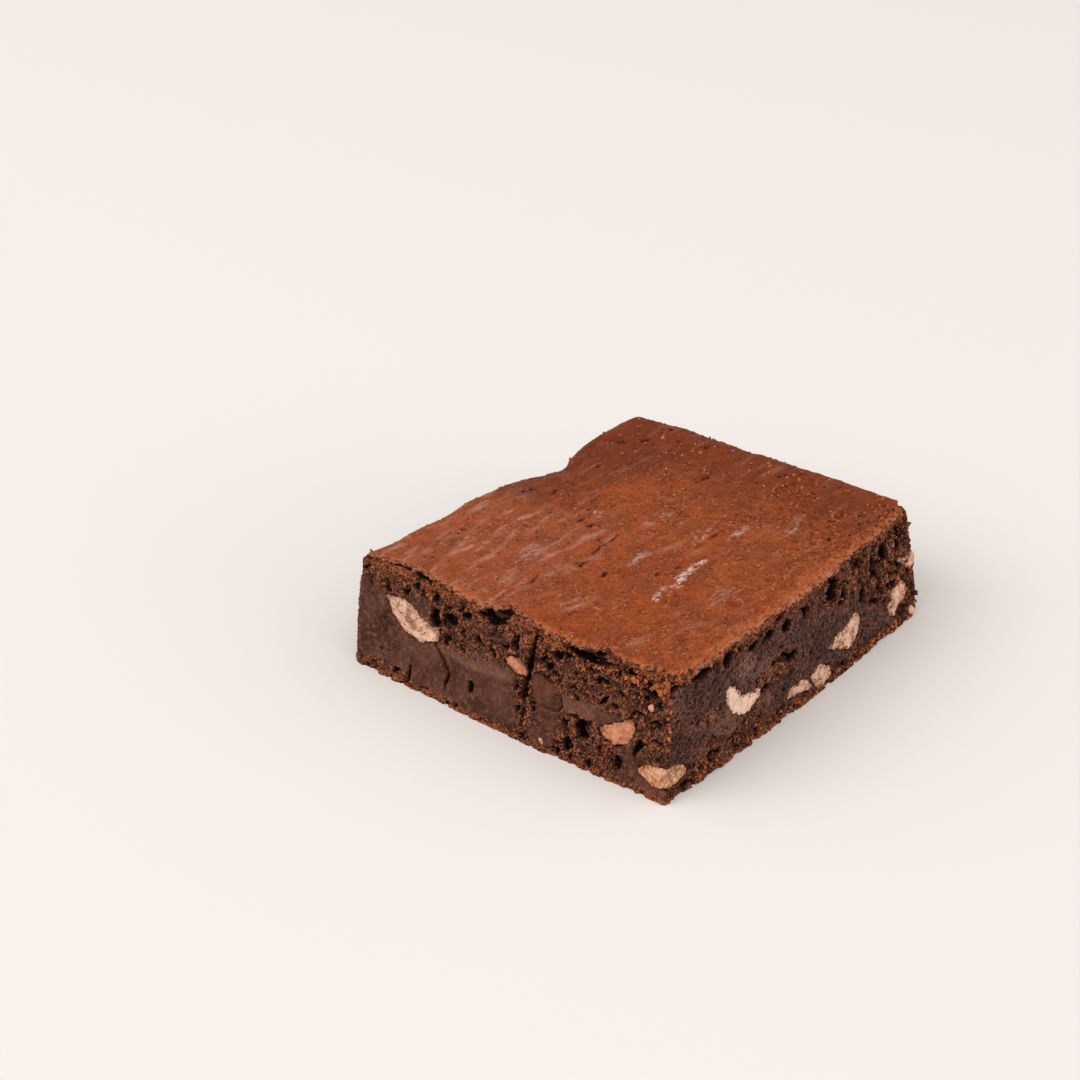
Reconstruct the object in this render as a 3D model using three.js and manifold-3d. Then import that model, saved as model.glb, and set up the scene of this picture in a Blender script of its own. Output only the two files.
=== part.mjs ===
// A square-cut chocolate brownie: a dense fudge slab with a thin sunken crust, two knife-cut faces
// (west and south), two faces baked against the tin (north and east), and chocolate chunks
// that the knife went through, lying flush in the cut faces.
//
// Millimetres, +Z up. +X runs along the longer edge and +Y along the shorter one. The slab stands on
// the plane z = 0, with the middle of its footprint over the origin.

import * as THREE from "three";
import { mergeVertices } from "three/addons/utils/BufferGeometryUtils.js";
import Module from "manifold-3d";

const wasm = await Module();
wasm.setup();

// ---- Driving dimensions ------------------------------------------------------------------------

// The four corners of the foot and of the crust, going round from the south-west.
const FOOT = { sw: [-47.5, -39.1], se: [48.8, -41.0], ne: [47.6, 39.2], nw: [-48.2, 39.8] };
const CRUST = { sw: [-45.9, -37.4], se: [49.2, -35.6], ne: [46.9, 36.6], nw: [-45.9, 39.4] };
const CRUST_HEIGHT = { sw: 26.6, se: 26.0, ne: 26.2, nw: 25.4 };
const SLAB_HEIGHT = 26;          // the height that the rounding of the shoulders is worked out at
const HALF_LENGTH = 48;
const HALF_WIDTH = 39.5;

// Upright corners, at the foot and at the crust, and shoulders: the knife leaves them sharp, the tin
// leaves them round, and the crust has broken away at the south-east.
const FOOT_RADIUS = { sw: 0.8, se: 1.2, ne: 4.0, nw: 1.0 };
const CRUST_RADIUS = { sw: 1.0, se: 4.5, ne: 5.0, nw: 1.2 };
const SHOULDER_RADIUS = { south: 0.8, west: 1.4, north: 2.4, east: 2.6 };

// How far the faces leave a straight wall.
const SOUTH_BELLY = 1.5;         // the south face bows out most just under the crust
const EAST_BELLY = 0.9;          // the tin side swells in the middle of its height
const FOOT_SKIRT = 1.0;          // crumbly foot, standing out round the bottom
const FOOT_SKIRT_HEIGHT = 5;
const WALL_WAVE = 0.35;          // slow unevenness of the cut faces
const TIN_WAVE = 0.55;           // and of the tin faces, which are lumpier

// The crust: slow waves, a rim where it climbed the tin, and the notch in its north edge.
const CRUST_WAVE = 0.45;
const RIM_RISE = 0.7;
const RIM_WIDTH = 5;
const NOTCH_X = 14;
const NOTCH_DROP = 1.8;          // the crust sags towards the notch from the west,
const NOTCH_DROP_RUNS = [12, 2.4];   // west and east, and steps up again on the east
const NOTCH_BITE = 3.4;          // the edge draws in towards it
const NOTCH_BITE_RUNS = [6, 10];
const NOTCH_REACH = 7;           // how far in from the edge the sag still shows

// Cells of the slab's surface along X, Y and Z, and how much they crowd towards the edges.
const CELLS = [28, 23, 10];
const CROWDING = 0.3;

// Chunks and cracks.
const GAP = 0.3;                 // between a chunk and the pocket that it lies in
const PROUD = 3;                 // how far a chunk's blank stands out of the face before the knife
const RING_POINTS = 14;
const DOME_RINGS = 3;

// ---- Small helpers -----------------------------------------------------------------------------

const { lerp, clamp, smoothstep } = THREE.MathUtils;

/** A value at plan position (s, t), each 0 to 1, from the values at the four corners. */
const blend = (corner, s, t) => lerp(lerp(corner.sw, corner.se, s), lerp(corner.nw, corner.ne, s), t);

/** The same for pairs of numbers, of which `axis` picks one. */
const blendPair = (corner, axis, s, t) =>
  lerp(lerp(corner.sw[axis], corner.se[axis], s), lerp(corner.nw[axis], corner.ne[axis], s), t);

/** Slow waves of height about 1 along one run of the slab. */
const wave = (run, turn) =>
  0.6 * Math.sin(run * 0.155 + turn) + 0.4 * Math.sin(run * 0.37 + 2.3 * turn);

/** Crowds evenly spaced values from -1 to 1 towards both ends. */
const crowd = (t) => t * (1 + CROWDING * (1 - t * t));

/**
 * Rounds the corner between two walls. `a` and `b` are how far a point lies past the centre of the
 * round along each wall's direction; a square outline becomes an arc.
 */
function roundOff(a, b) {
  if (a <= 0 || b <= 0) return [a, b];
  const scale = Math.max(a, b) / Math.hypot(a, b);
  return [a * scale, b * scale];
}

// ---- The slab ----------------------------------------------------------------------------------

/** Strength of the notch at x, 0 to 1, falling off over the runs to its west and east. */
function notchAt(x, [westRun, eastRun]) {
  const run = x < NOTCH_X ? westRun : eastRun;
  return Math.exp(-(((x - NOTCH_X) / run) ** 2));
}

/** Height of the crust at plan position (s, t), 0 to 1 each. */
function crustHeight(s, t) {
  const x = (2 * s - 1) * HALF_LENGTH;
  const y = (2 * t - 1) * HALF_WIDTH;
  const fromNorth = HALF_WIDTH - y;
  const fromEast = HALF_LENGTH - x;
  const sag = NOTCH_DROP * notchAt(x, NOTCH_DROP_RUNS) * Math.exp(-((fromNorth / NOTCH_REACH) ** 2));
  const rim = RIM_RISE * Math.exp(-(((fromEast - RIM_WIDTH) / RIM_WIDTH) ** 2));
  const ripple = CRUST_WAVE * wave(x + 0.5 * y, 1.1) * wave(y - 0.2 * x, 2.6);
  return blend(CRUST_HEIGHT, s, t) + ripple + rim - sag;
}

/** Moves a point of the plain block (x, y, z from -1, -1, 0 to 1, 1, 1) onto the slab. */
function onSlab(u, v, w) {
  // Round corners in plan.
  const cornerName = (v < 0 ? "s" : "n") + (u < 0 ? "w" : "e");
  const radius = lerp(FOOT_RADIUS[cornerName], CRUST_RADIUS[cornerName], w ** 2);
  const [px, py] = roundOff(
    Math.abs(u) * HALF_LENGTH - (HALF_LENGTH - radius),
    Math.abs(v) * HALF_WIDTH - (HALF_WIDTH - radius),
  );
  let x = Math.sign(u) * (HALF_LENGTH - radius + px);
  let y = Math.sign(v) * (HALF_WIDTH - radius + py);
  let z = w * SLAB_HEIGHT;

  // Round shoulders along the top of each wall.
  const sides = { west: [-1, 0], east: [1, 0], south: [0, -1], north: [0, 1] };
  for (const [name, [dx, dy]] of Object.entries(sides)) {
    const r = SHOULDER_RADIUS[name];
    const half = dx ? HALF_LENGTH : HALF_WIDTH;
    const out = x * dx + y * dy - (half - r);
    const [movedOut, movedUp] = roundOff(out, z - (SLAB_HEIGHT - r));
    x += dx * (movedOut - out);
    y += dy * (movedOut - out);
    z = SLAB_HEIGHT - r + movedUp;
  }

  // Lean the walls from the foot's outline to the crust's.
  const s = (x / HALF_LENGTH + 1) / 2;
  const t = (y / HALF_WIDTH + 1) / 2;
  const up = z / SLAB_HEIGHT;
  let outX = lerp(blendPair(FOOT, 0, s, t), blendPair(CRUST, 0, s, t), up);
  let outY = lerp(blendPair(FOOT, 1, s, t), blendPair(CRUST, 1, s, t), up);

  // Bow, wave and skirt each wall; nearness keeps that to the wall itself.
  const near = (side) => clamp(side, 0, 1) ** 6;
  const bow = Math.sin(Math.PI * up);
  const skirt = FOOT_SKIRT * (1 - smoothstep(z, 0, FOOT_SKIRT_HEIGHT));
  const middle = (q) => 1 - (2 * q - 1) ** 2;
  const south = near(1 - 2 * t);
  const north = near(2 * t - 1);
  const west = near(1 - 2 * s);
  const east = near(2 * s - 1);
  outY -= south * (SOUTH_BELLY * middle(s) * up + skirt * middle(s) + WALL_WAVE * wave(x, 0.4 + up));
  outX -= west * (skirt * middle(t) + WALL_WAVE * wave(y, 1.9 + up));
  outY += north * (TIN_WAVE * wave(x, 3.1) + 0.5 * bow - NOTCH_BITE * notchAt(x, NOTCH_BITE_RUNS) * up);
  outX += east * (TIN_WAVE * wave(y, 4.4) + EAST_BELLY * bow);

  return [outX, outY, up * crustHeight(s, t)];
}

/** The uncut slab: a fine block whose skin is moved onto the brownie's. */
function slabGeometry() {
  const block = new THREE.BoxGeometry(2, 2, 2, ...CELLS);
  const place = block.attributes.position;
  for (let i = 0; i < place.count; i += 1) {
    const w = (crowd(place.getZ(i)) + 1) / 2;
    place.setXYZ(i, ...onSlab(crowd(place.getX(i)), crowd(place.getY(i)), w));
  }
  return block;
}

// ---- Booleans ----------------------------------------------------------------------------------

/** A closed three.js geometry as a solid that can be cut. */
function solid(geometry) {
  const bare = geometry.clone();
  bare.deleteAttribute("normal");
  bare.deleteAttribute("uv");
  const merged = mergeVertices(bare, 1e-4);
  return new wasm.Manifold(new wasm.Mesh({
    numProp: 3,
    vertProperties: new Float32Array(merged.attributes.position.array),
    triVerts: new Uint32Array(merged.index.array),
  }));
}

/** A cut solid as a three.js geometry. */
function geometryOf(manifold) {
  const mesh = manifold.getMesh();
  const geometry = new THREE.BufferGeometry();
  geometry.setAttribute("position", new THREE.BufferAttribute(mesh.vertProperties, mesh.numProp));
  geometry.setIndex(new THREE.BufferAttribute(mesh.triVerts, 1));
  return geometry;
}

// ---- Lumps that the knife went through -----------------------------------------------------------

/** A cut face: where a point (run along the face, height) lies at a depth into the crumb. */
const FACES = {
  west: {
    place: (run, z, depth) => {
      const t = (run / HALF_WIDTH + 1) / 2;
      return [onSlab(-1, 2 * t - 1, z / SLAB_HEIGHT)[0] + depth, run, z];
    },
    turned: false,
  },
  south: {
    place: (run, z, depth) => {
      const s = (run / HALF_LENGTH + 1) / 2;
      return [run, onSlab(2 * s - 1, -1, z / SLAB_HEIGHT)[1] + depth, z];
    },
    turned: true,
  },
};

/** Evenly spaced points of the smooth closed outline through `corners`, grown outwards by `grow`. */
function outlinePoints(corners, grow, tension) {
  const curve = new THREE.CatmullRomCurve3(
    corners.map(([run, z]) => new THREE.Vector3(run, z, 0)), true, "catmullrom", tension,
  );
  const points = curve.getSpacedPoints(RING_POINTS).slice(0, RING_POINTS);
  if (THREE.ShapeUtils.isClockWise(points)) points.reverse();
  return points.map((point, i) => {
    const before = points[(i + RING_POINTS - 1) % RING_POINTS];
    const after = points[(i + 1) % RING_POINTS];
    const along = new THREE.Vector3().subVectors(after, before).normalize();
    return new THREE.Vector2(point.x + along.y * grow, point.y - along.x * grow);
  });
}

/**
 * A lump seen in a cut face: it has the outline `corners` there, and closes like a dome at `depth`
 * into the crumb. Its blank stands proud of the face, for the knife to take off.
 */
function lump(faceName, corners, depth, grow = 0, tension = 0.5) {
  const face = FACES[faceName];
  const outline = outlinePoints(corners, grow, tension);
  const centre = outline.reduce((sum, p) => sum.add(p), new THREE.Vector2())
    .divideScalar(outline.length);
  const rings = [[-PROUD, 1]];
  for (let i = 0; i <= DOME_RINGS; i += 1) {
    const turn = (i / (DOME_RINGS + 1)) * (Math.PI / 2);
    rings.push([(depth + grow) * Math.sin(turn), Math.cos(turn)]);
  }
  const corner = [];
  for (const [inwards, size] of rings) {
    for (const p of outline) {
      const run = centre.x + (p.x - centre.x) * size;
      const z = centre.y + (p.y - centre.y) * size;
      corner.push(...face.place(run, z, inwards));
    }
  }
  const outerPole = corner.length / 3;
  corner.push(...face.place(centre.x, centre.y, -PROUD));
  const innerPole = outerPole + 1;
  corner.push(...face.place(centre.x, centre.y, depth + grow));

  const triangles = [];
  const add = (a, b, c) => triangles.push(...(face.turned ? [a, c, b] : [a, b, c]));
  for (let i = 0; i < RING_POINTS; i += 1) {
    const next = (i + 1) % RING_POINTS;
    add(outerPole, next, i);
    const last = (rings.length - 1) * RING_POINTS;
    add(innerPole, last + i, last + next);
    for (let ring = 0; ring < rings.length - 1; ring += 1) {
      const near = ring * RING_POINTS;
      const far = near + RING_POINTS;
      add(near + i, near + next, far + next);
      add(near + i, far + next, far + i);
    }
  }
  const geometry = new THREE.BufferGeometry();
  geometry.setAttribute("position", new THREE.Float32BufferAttribute(corner, 3));
  geometry.setIndex(triangles);
  return geometry;
}

/** A knobbly round lump about a point, for one that lies across an upright corner. */
function nugget(centre, halves, grow = 0) {
  const ball = new THREE.SphereGeometry(1, RING_POINTS, 8);
  const place = ball.attributes.position;
  for (let i = 0; i < place.count; i += 1) {
    const [x, y, z] = [place.getX(i), place.getY(i), place.getZ(i)];
    const knob = 1 + 0.07 * Math.sin(5 * x + 2 * z) * Math.cos(4 * y);
    place.setXYZ(
      i,
      centre[0] + x * (halves[0] * knob + grow),
      centre[1] + y * (halves[1] * knob + grow),
      centre[2] + z * (halves[2] * knob + grow),
    );
  }
  return ball;
}

// Chunks cut by one face: the outline as (run along the face, height), and the depth behind it.
const FACE_CHUNKS = {
  chunk_west_long: {
    face: "west",
    finish: "milk",
    depth: 5.5,
    outline: [
      [32.8, 18.2], [27.7, 18.8], [23.7, 17.2], [20.7, 15.3], [17.9, 14.9],
      [18.3, 12.8], [24.3, 11.0], [29.7, 13.9],
    ],
  },
  chunk_west_oval: {
    face: "west",
    finish: "milk",
    depth: 2.6,
    outline: [[0.9, 15.8], [-1.2, 17.2], [-3.6, 16.2], [-4.1, 14.2], [-1.8, 13.6]],
  },
  chunk_west_dark: {
    face: "west",
    finish: "dark",
    depth: 4.0,
    outline: [[-6.4, 15.4], [-8.4, 16.2], [-12.4, 14.2], [-13.1, 9.9], [-6.6, 9.7]],
  },
  chunk_west_wedge: {
    face: "west",
    finish: "caramel",
    depth: 3.8,
    outline: [[-22.0, 9.6], [-25.2, 11.9], [-30.3, 14.7], [-29.8, 11.0], [-27.2, 7.9], [-24.4, 8.1]],
  },
  chunk_south_crescent: {
    face: "south",
    finish: "white",
    depth: 3.6,
    outline: [
      [-27.3, 15.6], [-25.8, 16.4], [-23.2, 13.2], [-19.8, 11.2], [-14.6, 10.1],
      [-15.6, 8.4], [-20.4, 7.2], [-24.6, 9.4], [-27.2, 12.8],
    ],
  },
  chunk_south_low_west: {
    face: "south",
    finish: "milk",
    depth: 3.0,
    outline: [[-5.2, 3.3], [-2.5, 5.0], [0.9, 4.8], [3.1, 3.6], [2.7, 1.9], [-1.1, 2.7]],
  },
  chunk_south_low_east: {
    face: "south",
    finish: "milk",
    depth: 3.2,
    outline: [[4.0, 4.8], [7.2, 5.3], [11.2, 3.4], [10.2, 1.5], [6.2, 1.0], [4.5, 2.6]],
  },
  chunk_south_lozenge: {
    face: "south",
    finish: "milk",
    depth: 4.4,
    outline: [[10.9, 7.8], [16.3, 9.4], [23.1, 10.5], [24.9, 8.4], [22.7, 4.9], [20.1, 3.6], [15.1, 5.5]],
  },
  chunk_south_far: {
    face: "south",
    finish: "milk",
    depth: 3.6,
    outline: [[36.6, 6.4], [39.4, 9.2], [43.0, 10.0], [45.0, 8.4], [44.4, 5.9], [41.6, 4.8], [37.8, 3.4]],
  },
};

// Chunks across an upright corner of the slab: middle, and half sizes along X, Y and Z.
const CORNER_CHUNKS = {
  chunk_corner_front: {
    finish: "caramel", centre: [-46.8, -38.4, 5.1], halves: [6.6, 6.3, 2.3], proud: false,
  },
  chunk_corner_east: {
    finish: "milk", centre: [47.0, -36.2, 13.2], halves: [3.4, 3.2, 2.1], proud: true,
  },
};

// Cracks and open pores of the cut faces, as outlines and depths like the chunks'.
const HOLLOWS = [
  {   // the long upright crack
    face: "west",
    depth: 6,
    outline: [[-5.7, 24.6], [-4.5, 16.8], [-3.9, 10.0], [-4.3, 3.8], [-4.9, 9.6], [-5.6, 15.8]],
  },
  {   // the short crack that starts at the long chunk
    face: "west",
    depth: 3,
    outline: [[18.6, 11.2], [16.6, 8.0], [15.2, 6.2], [15.7, 3.4], [16.6, 5.8], [17.4, 8.0]],
  },
  {   // the burst bubble under the crust
    face: "south",
    depth: 3,
    outline: [[10.9, 22.4], [13.9, 22.2], [13.4, 19.0], [11.6, 18.9]],
  },
];

// ---- Finishes ----------------------------------------------------------------------------------

const FINISHES = {
  crumb: { color: 0x4a2b20, roughness: 0.85, metalness: 0 },
  milk: { color: 0xc9a081, roughness: 0.6, metalness: 0 },
  white: { color: 0xd8b8a0, roughness: 0.55, metalness: 0 },
  caramel: { color: 0xc07a50, roughness: 0.5, metalness: 0 },
  dark: { color: 0x57392f, roughness: 0.5, metalness: 0 },
};

// ---- Assembly ----------------------------------------------------------------------------------

const brownie = new THREE.Group();

/** Adds one named piece in its finish. */
function addPiece(name, manifold, finish) {
  const piece = new THREE.Mesh(geometryOf(manifold), new THREE.MeshStandardMaterial(FINISHES[finish]));
  piece.name = name;
  brownie.add(piece);
}

const uncut = solid(slabGeometry());
let slab = uncut;
const chunks = [];

for (const [name, { face, finish, depth, outline }] of Object.entries(FACE_CHUNKS)) {
  chunks.push([name, uncut.intersect(solid(lump(face, outline, depth))), finish]);
  slab = slab.subtract(solid(lump(face, outline, depth, GAP)));
}
for (const [name, { finish, centre, halves, proud }] of Object.entries(CORNER_CHUNKS)) {
  const whole = solid(nugget(centre, halves));
  chunks.push([name, proud ? whole : uncut.intersect(whole), finish]);
  slab = slab.subtract(solid(nugget(centre, halves, GAP)));
}
for (const { face, depth, outline } of HOLLOWS) {
  slab = slab.subtract(solid(lump(face, outline, depth)));
}

addPiece("slab", slab, "crumb");
for (const [name, manifold, finish] of chunks) addPiece(name, manifold, finish);

// Stand the whole on z = 0 with its footprint centred.
const box = new THREE.Box3().setFromObject(brownie, true);
const middle = box.getCenter(new THREE.Vector3());
brownie.position.set(-middle.x, -middle.y, -box.min.z);

export default brownie;
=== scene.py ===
"""A square-cut chocolate brownie: fudgy crumb, thin satin crust, and chocolate chunks in the cut faces.

The slab is worked in millimetres in its own plan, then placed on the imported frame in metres.
West and south are the knife-cut faces; north and east baked against the tin.
"""

import logging
import math
from collections.abc import Callable
from dataclasses import dataclass, field
from enum import Enum

import bmesh
import bpy
import numpy as np
from mathutils import Matrix, Vector
from mathutils.bvhtree import BVHTree
from mathutils.geometry import delaunay_2d_cdt
from mathutils.kdtree import KDTree


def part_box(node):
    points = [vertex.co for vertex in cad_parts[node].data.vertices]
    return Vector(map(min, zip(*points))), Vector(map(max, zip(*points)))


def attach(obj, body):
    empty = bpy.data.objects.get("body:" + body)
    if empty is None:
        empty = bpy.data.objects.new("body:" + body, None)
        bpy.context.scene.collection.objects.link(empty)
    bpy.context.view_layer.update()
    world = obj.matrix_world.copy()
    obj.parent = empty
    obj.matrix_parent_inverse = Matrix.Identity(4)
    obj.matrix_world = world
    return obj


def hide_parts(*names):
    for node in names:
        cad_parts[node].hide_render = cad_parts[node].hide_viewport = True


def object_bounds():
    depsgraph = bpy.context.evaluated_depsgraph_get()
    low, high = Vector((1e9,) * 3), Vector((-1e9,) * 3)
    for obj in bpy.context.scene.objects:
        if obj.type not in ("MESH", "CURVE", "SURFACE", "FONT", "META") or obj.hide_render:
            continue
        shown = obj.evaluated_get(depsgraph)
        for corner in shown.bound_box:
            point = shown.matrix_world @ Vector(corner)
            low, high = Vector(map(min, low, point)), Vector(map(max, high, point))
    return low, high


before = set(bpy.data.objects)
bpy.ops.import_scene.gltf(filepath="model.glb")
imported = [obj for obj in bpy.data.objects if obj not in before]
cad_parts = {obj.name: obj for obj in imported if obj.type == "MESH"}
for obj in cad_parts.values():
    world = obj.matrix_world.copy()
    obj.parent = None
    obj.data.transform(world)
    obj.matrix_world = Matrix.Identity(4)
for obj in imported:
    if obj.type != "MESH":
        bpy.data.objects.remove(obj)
CAD_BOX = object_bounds()

LOG = logging.getLogger("brownie")
MM = 0.001
BODY = "root"
CLEARANCE = 0.01
EDGE = 0.999

Array = np.ndarray
Pair = tuple[np.ndarray, np.ndarray]
Triple = tuple[float, float, float]
Colour = Triple
Box = tuple[float, float, float, float]
Line = tuple[tuple[float, float], ...]
Material = bpy.types.Material
Socket = bpy.types.NodeSocket


# ---- Arithmetic ----


def lerp(low: Array, high: Array, share: Array) -> Array:
    """The value a share of the way from low to high."""
    return low + (high - low) * share


def ramp(value: Array, start: float, end: float) -> Array:
    """0 before start and 1 after end, smooth between them; start may be the greater."""
    share = np.clip((np.asarray(value, float) - start) / (end - start), 0.0, 1.0)
    return share * share * (3.0 - 2.0 * share)


class Noise:
    """Seeded noise in space, worked out for whole arrays of points."""

    SIDE = 256

    def __init__(self, seed: int) -> None:
        """Draws the tables of one noise.

        Args:
            seed: what the tables are drawn from; two noises of one seed are the same.
        """
        rng = np.random.default_rng(seed)
        self.order = rng.permutation(self.SIDE)
        slopes = rng.normal(size=(self.SIDE, 3))
        self.slopes = slopes / np.linalg.norm(slopes, axis=1)[:, None]
        self.spots = rng.random((self.SIDE, 3))
        self.values = rng.random(self.SIDE)

    def _pick(self, cell: Array) -> Array:
        """The table row of each whole-number cell."""
        mask = self.SIDE - 1
        row = self.order[cell[:, 0] & mask]
        row = self.order[(row + cell[:, 1]) & mask]
        return self.order[(row + cell[:, 2]) & mask]

    def smooth(self, points: Array, size: float | Triple) -> Array:
        """Gradient noise.

        Args:
            points: places, in millimetres.
            size: width of one swell, along every axis or along each.

        Returns:
            One value a point, about -1 to 1.
        """
        place = points / np.asarray(size, float)
        cell = np.floor(place).astype(int)
        inner = place - cell
        fade = inner**3 * (inner * (inner * 6 - 15) + 10)
        total = np.zeros(len(place))
        for corner in np.ndindex(2, 2, 2):
            step = np.array(corner)
            slope = self.slopes[self._pick(cell + step)]
            share = np.prod(np.where(step == 1, fade, 1 - fade), axis=1)
            total += share * np.einsum("ij,ij->i", slope, inner - step)
        return total * 1.6

    def layered(self, points: Array, size: float, layers: int = 3) -> Array:
        """Gradient noise with finer layers on top, each half as wide and half as strong."""
        total = np.zeros(len(points))
        for layer in range(layers):
            total += self.smooth(points + 17.3 * layer, size / 2**layer) / 2**layer
        return total / 1.6

    def cells(self, points: Array, size: float | Triple) -> Pair:
        """Scattered spots, one to a cell.

        Args:
            points: places, in millimetres.
            size: width of a cell, along every axis or along each.

        Returns:
            The distance to the nearest spot, in cell widths, and that spot's own random value, 0 to 1.
        """
        place = points / np.asarray(size, float)
        home = np.floor(place).astype(int)
        nearest = np.full(len(place), np.inf)
        owner = np.zeros(len(place))
        for step in np.ndindex(3, 3, 3):
            cell = home + np.array(step) - 1
            row = self._pick(cell)
            gap = np.sum((cell + self.spots[row] - place) ** 2, axis=1)
            closer = gap < nearest
            nearest = np.where(closer, gap, nearest)
            owner = np.where(closer, self.values[row], owner)
        return np.sqrt(nearest), owner


# ---- The form of the slab ----


class Side(Enum):
    """The four walls of the slab, in the order of a walk round it from its north-west corner."""

    WEST = "west"
    SOUTH = "south"
    EAST = "east"
    NORTH = "north"

    @property
    def number(self) -> int:
        """Its place in the walk, from 0."""
        return list(Side).index(self)


@dataclass(frozen=True)
class Corners:
    """One value, or one pair of values, for each upright corner of the slab."""

    sw: tuple[float, ...]
    se: tuple[float, ...]
    ne: tuple[float, ...]
    nw: tuple[float, ...]

    def blend(self, part: int, s: Array, t: Array) -> Array:
        """Value number `part` at plan shares s (west to east) and t (south to north)."""
        south = lerp(self.sw[part], self.se[part], s)
        north = lerp(self.nw[part], self.ne[part], s)
        return lerp(south, north, t)

    def nearest(self, u: Array, v: Array) -> Array:
        """The first value of the corner in whose quarter of the plan each point lies."""
        south = np.where(u < 0, self.sw[0], self.se[0])
        north = np.where(u < 0, self.nw[0], self.ne[0])
        return np.where(v < 0, south, north)


@dataclass
class SlabForm:
    """The outer form of the slab, the same as the CAD solid's, from the same driving sizes."""

    foot: Corners = Corners((-47.5, -39.1), (48.8, -41.0), (47.6, 39.2), (-48.2, 39.8))
    crust: Corners = Corners((-45.9, -37.4), (49.2, -35.6), (46.9, 36.6), (-45.9, 39.4))
    crust_height: Corners = Corners((26.6,), (26.0,), (26.2,), (25.4,))
    foot_radius: Corners = Corners((0.8,), (1.2,), (4.0,), (1.0,))
    crust_radius: Corners = Corners((1.0,), (4.5,), (5.0,), (1.2,))
    height: float = 26.0
    half_length: float = 48.0
    half_width: float = 39.5
    shoulders: dict[Side, float] = field(
        default_factory=lambda: {Side.WEST: 1.4, Side.EAST: 2.6, Side.SOUTH: 0.8, Side.NORTH: 2.4}
    )
    south_belly: float = 1.5
    east_belly: float = 0.9
    skirt: float = 1.0
    skirt_height: float = 5.0
    wall_wave: float = 0.35
    tin_wave: float = 0.55
    crust_wave: float = 0.45
    rim_rise: float = 0.7
    rim_width: float = 5.0
    notch_x: float = 14.0
    notch_drop: float = 1.8
    drop_runs: tuple[float, float] = (12.0, 2.4)
    notch_bite: float = 3.4
    bite_runs: tuple[float, float] = (6.0, 10.0)
    notch_reach: float = 7.0
    cells: tuple[int, int, int] = (28, 23, 10)
    crowding: float = 0.3

    def __post_init__(self) -> None:
        """Finds where the slab lies in the frame, from the CAD solid's own box."""
        low, _high = self._coarse_box()
        cad_low = np.array(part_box("slab")[0]) / MM
        self.shift = np.array([cad_low[0] - low[0], cad_low[1] - low[1], 0.0])
        self.low = np.array(CAD_BOX[0]) / MM - self.shift
        self.high = np.array(CAD_BOX[1]) / MM - self.shift

    def _coarse_box(self) -> Pair:
        """The lowest and highest corners of the form, sampled at the CAD solid's own cells.

        Returns:
            Both corners, in the slab's own millimetres.
        """
        steps = [np.linspace(-1, 1, count + 1) for count in self.cells]
        u, v, w = (t * (1 + self.crowding * (1 - t * t)) for t in steps)
        grid = np.stack(np.meshgrid(u, v, (w + 1) / 2, indexing="ij"), -1).reshape(-1, 3)
        skin = grid[(np.abs(grid[:, 0]) == 1) | (np.abs(grid[:, 1]) == 1)]
        points = self.place(skin[:, 0], skin[:, 1], skin[:, 2])
        return points.min(0), points.max(0)

    @staticmethod
    def _wave(run: Array, turn: Array | float) -> Array:
        """Slow waves of height about 1 along one run."""
        return 0.6 * np.sin(run * 0.155 + turn) + 0.4 * np.sin(run * 0.37 + 2.3 * turn)

    @staticmethod
    def _round_off(a: Array, b: Array) -> Pair:
        """Turns the square corner past (0, 0) into an arc."""
        corner = (a > 0) & (b > 0)
        reach = np.where(corner, np.hypot(a, b), 1.0)
        scale = np.where(corner, np.maximum(a, b) / reach, 1.0)
        return a * scale, b * scale

    def _notch(self, x: Array, runs: tuple[float, float]) -> Array:
        """Strength of the notch at x, 0 to 1, over its runs to the west and east."""
        run = np.where(x < self.notch_x, *runs)
        return np.exp(-(((x - self.notch_x) / run) ** 2))

    def _crust_level(self, s: Array, t: Array) -> Array:
        """Height of the crust at plan shares s and t.

        Args:
            s: share of the way from west to east.
            t: share of the way from south to north.

        Returns:
            The height of each point, in millimetres.
        """
        x = (2 * s - 1) * self.half_length
        y = (2 * t - 1) * self.half_width
        from_north = self.half_width - y
        from_east = self.half_length - x
        sag = self.notch_drop * self._notch(x, self.drop_runs)
        sag = sag * np.exp(-((from_north / self.notch_reach) ** 2))
        rim = self.rim_rise * np.exp(-(((from_east - self.rim_width) / self.rim_width) ** 2))
        ripple = self.crust_wave * self._wave(x + 0.5 * y, 1.1) * self._wave(y - 0.2 * x, 2.6)
        return self.crust_height.blend(0, s, t) + ripple + rim - sag

    def place(self, u: Array, v: Array, w: Array) -> Array:
        """Moves points of a plain block onto the slab.

        Args:
            u: place from west to east, -1 to 1.
            v: place from south to north, -1 to 1.
            w: height, 0 to 1.

        Returns:
            The points in the slab's own millimetres, one row each.
        """
        u, v, w = np.broadcast_arrays(np.asarray(u, float), np.asarray(v, float), np.asarray(w, float))
        radius = lerp(self.foot_radius.nearest(u, v), self.crust_radius.nearest(u, v), w**2)
        px, py = self._round_off(
            np.abs(u) * self.half_length - (self.half_length - radius),
            np.abs(v) * self.half_width - (self.half_width - radius),
        )
        x = np.sign(u) * (self.half_length - radius + px)
        y = np.sign(v) * (self.half_width - radius + py)
        z = w * self.height
        ways = {Side.WEST: (-1, 0), Side.EAST: (1, 0), Side.SOUTH: (0, -1), Side.NORTH: (0, 1)}
        for side, (dx, dy) in ways.items():
            r = self.shoulders[side]
            out = x * dx + y * dy - ((self.half_length if dx else self.half_width) - r)
            moved_out, moved_up = self._round_off(out, z - (self.height - r))
            x = x + dx * (moved_out - out)
            y = y + dy * (moved_out - out)
            z = self.height - r + moved_up

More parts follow.
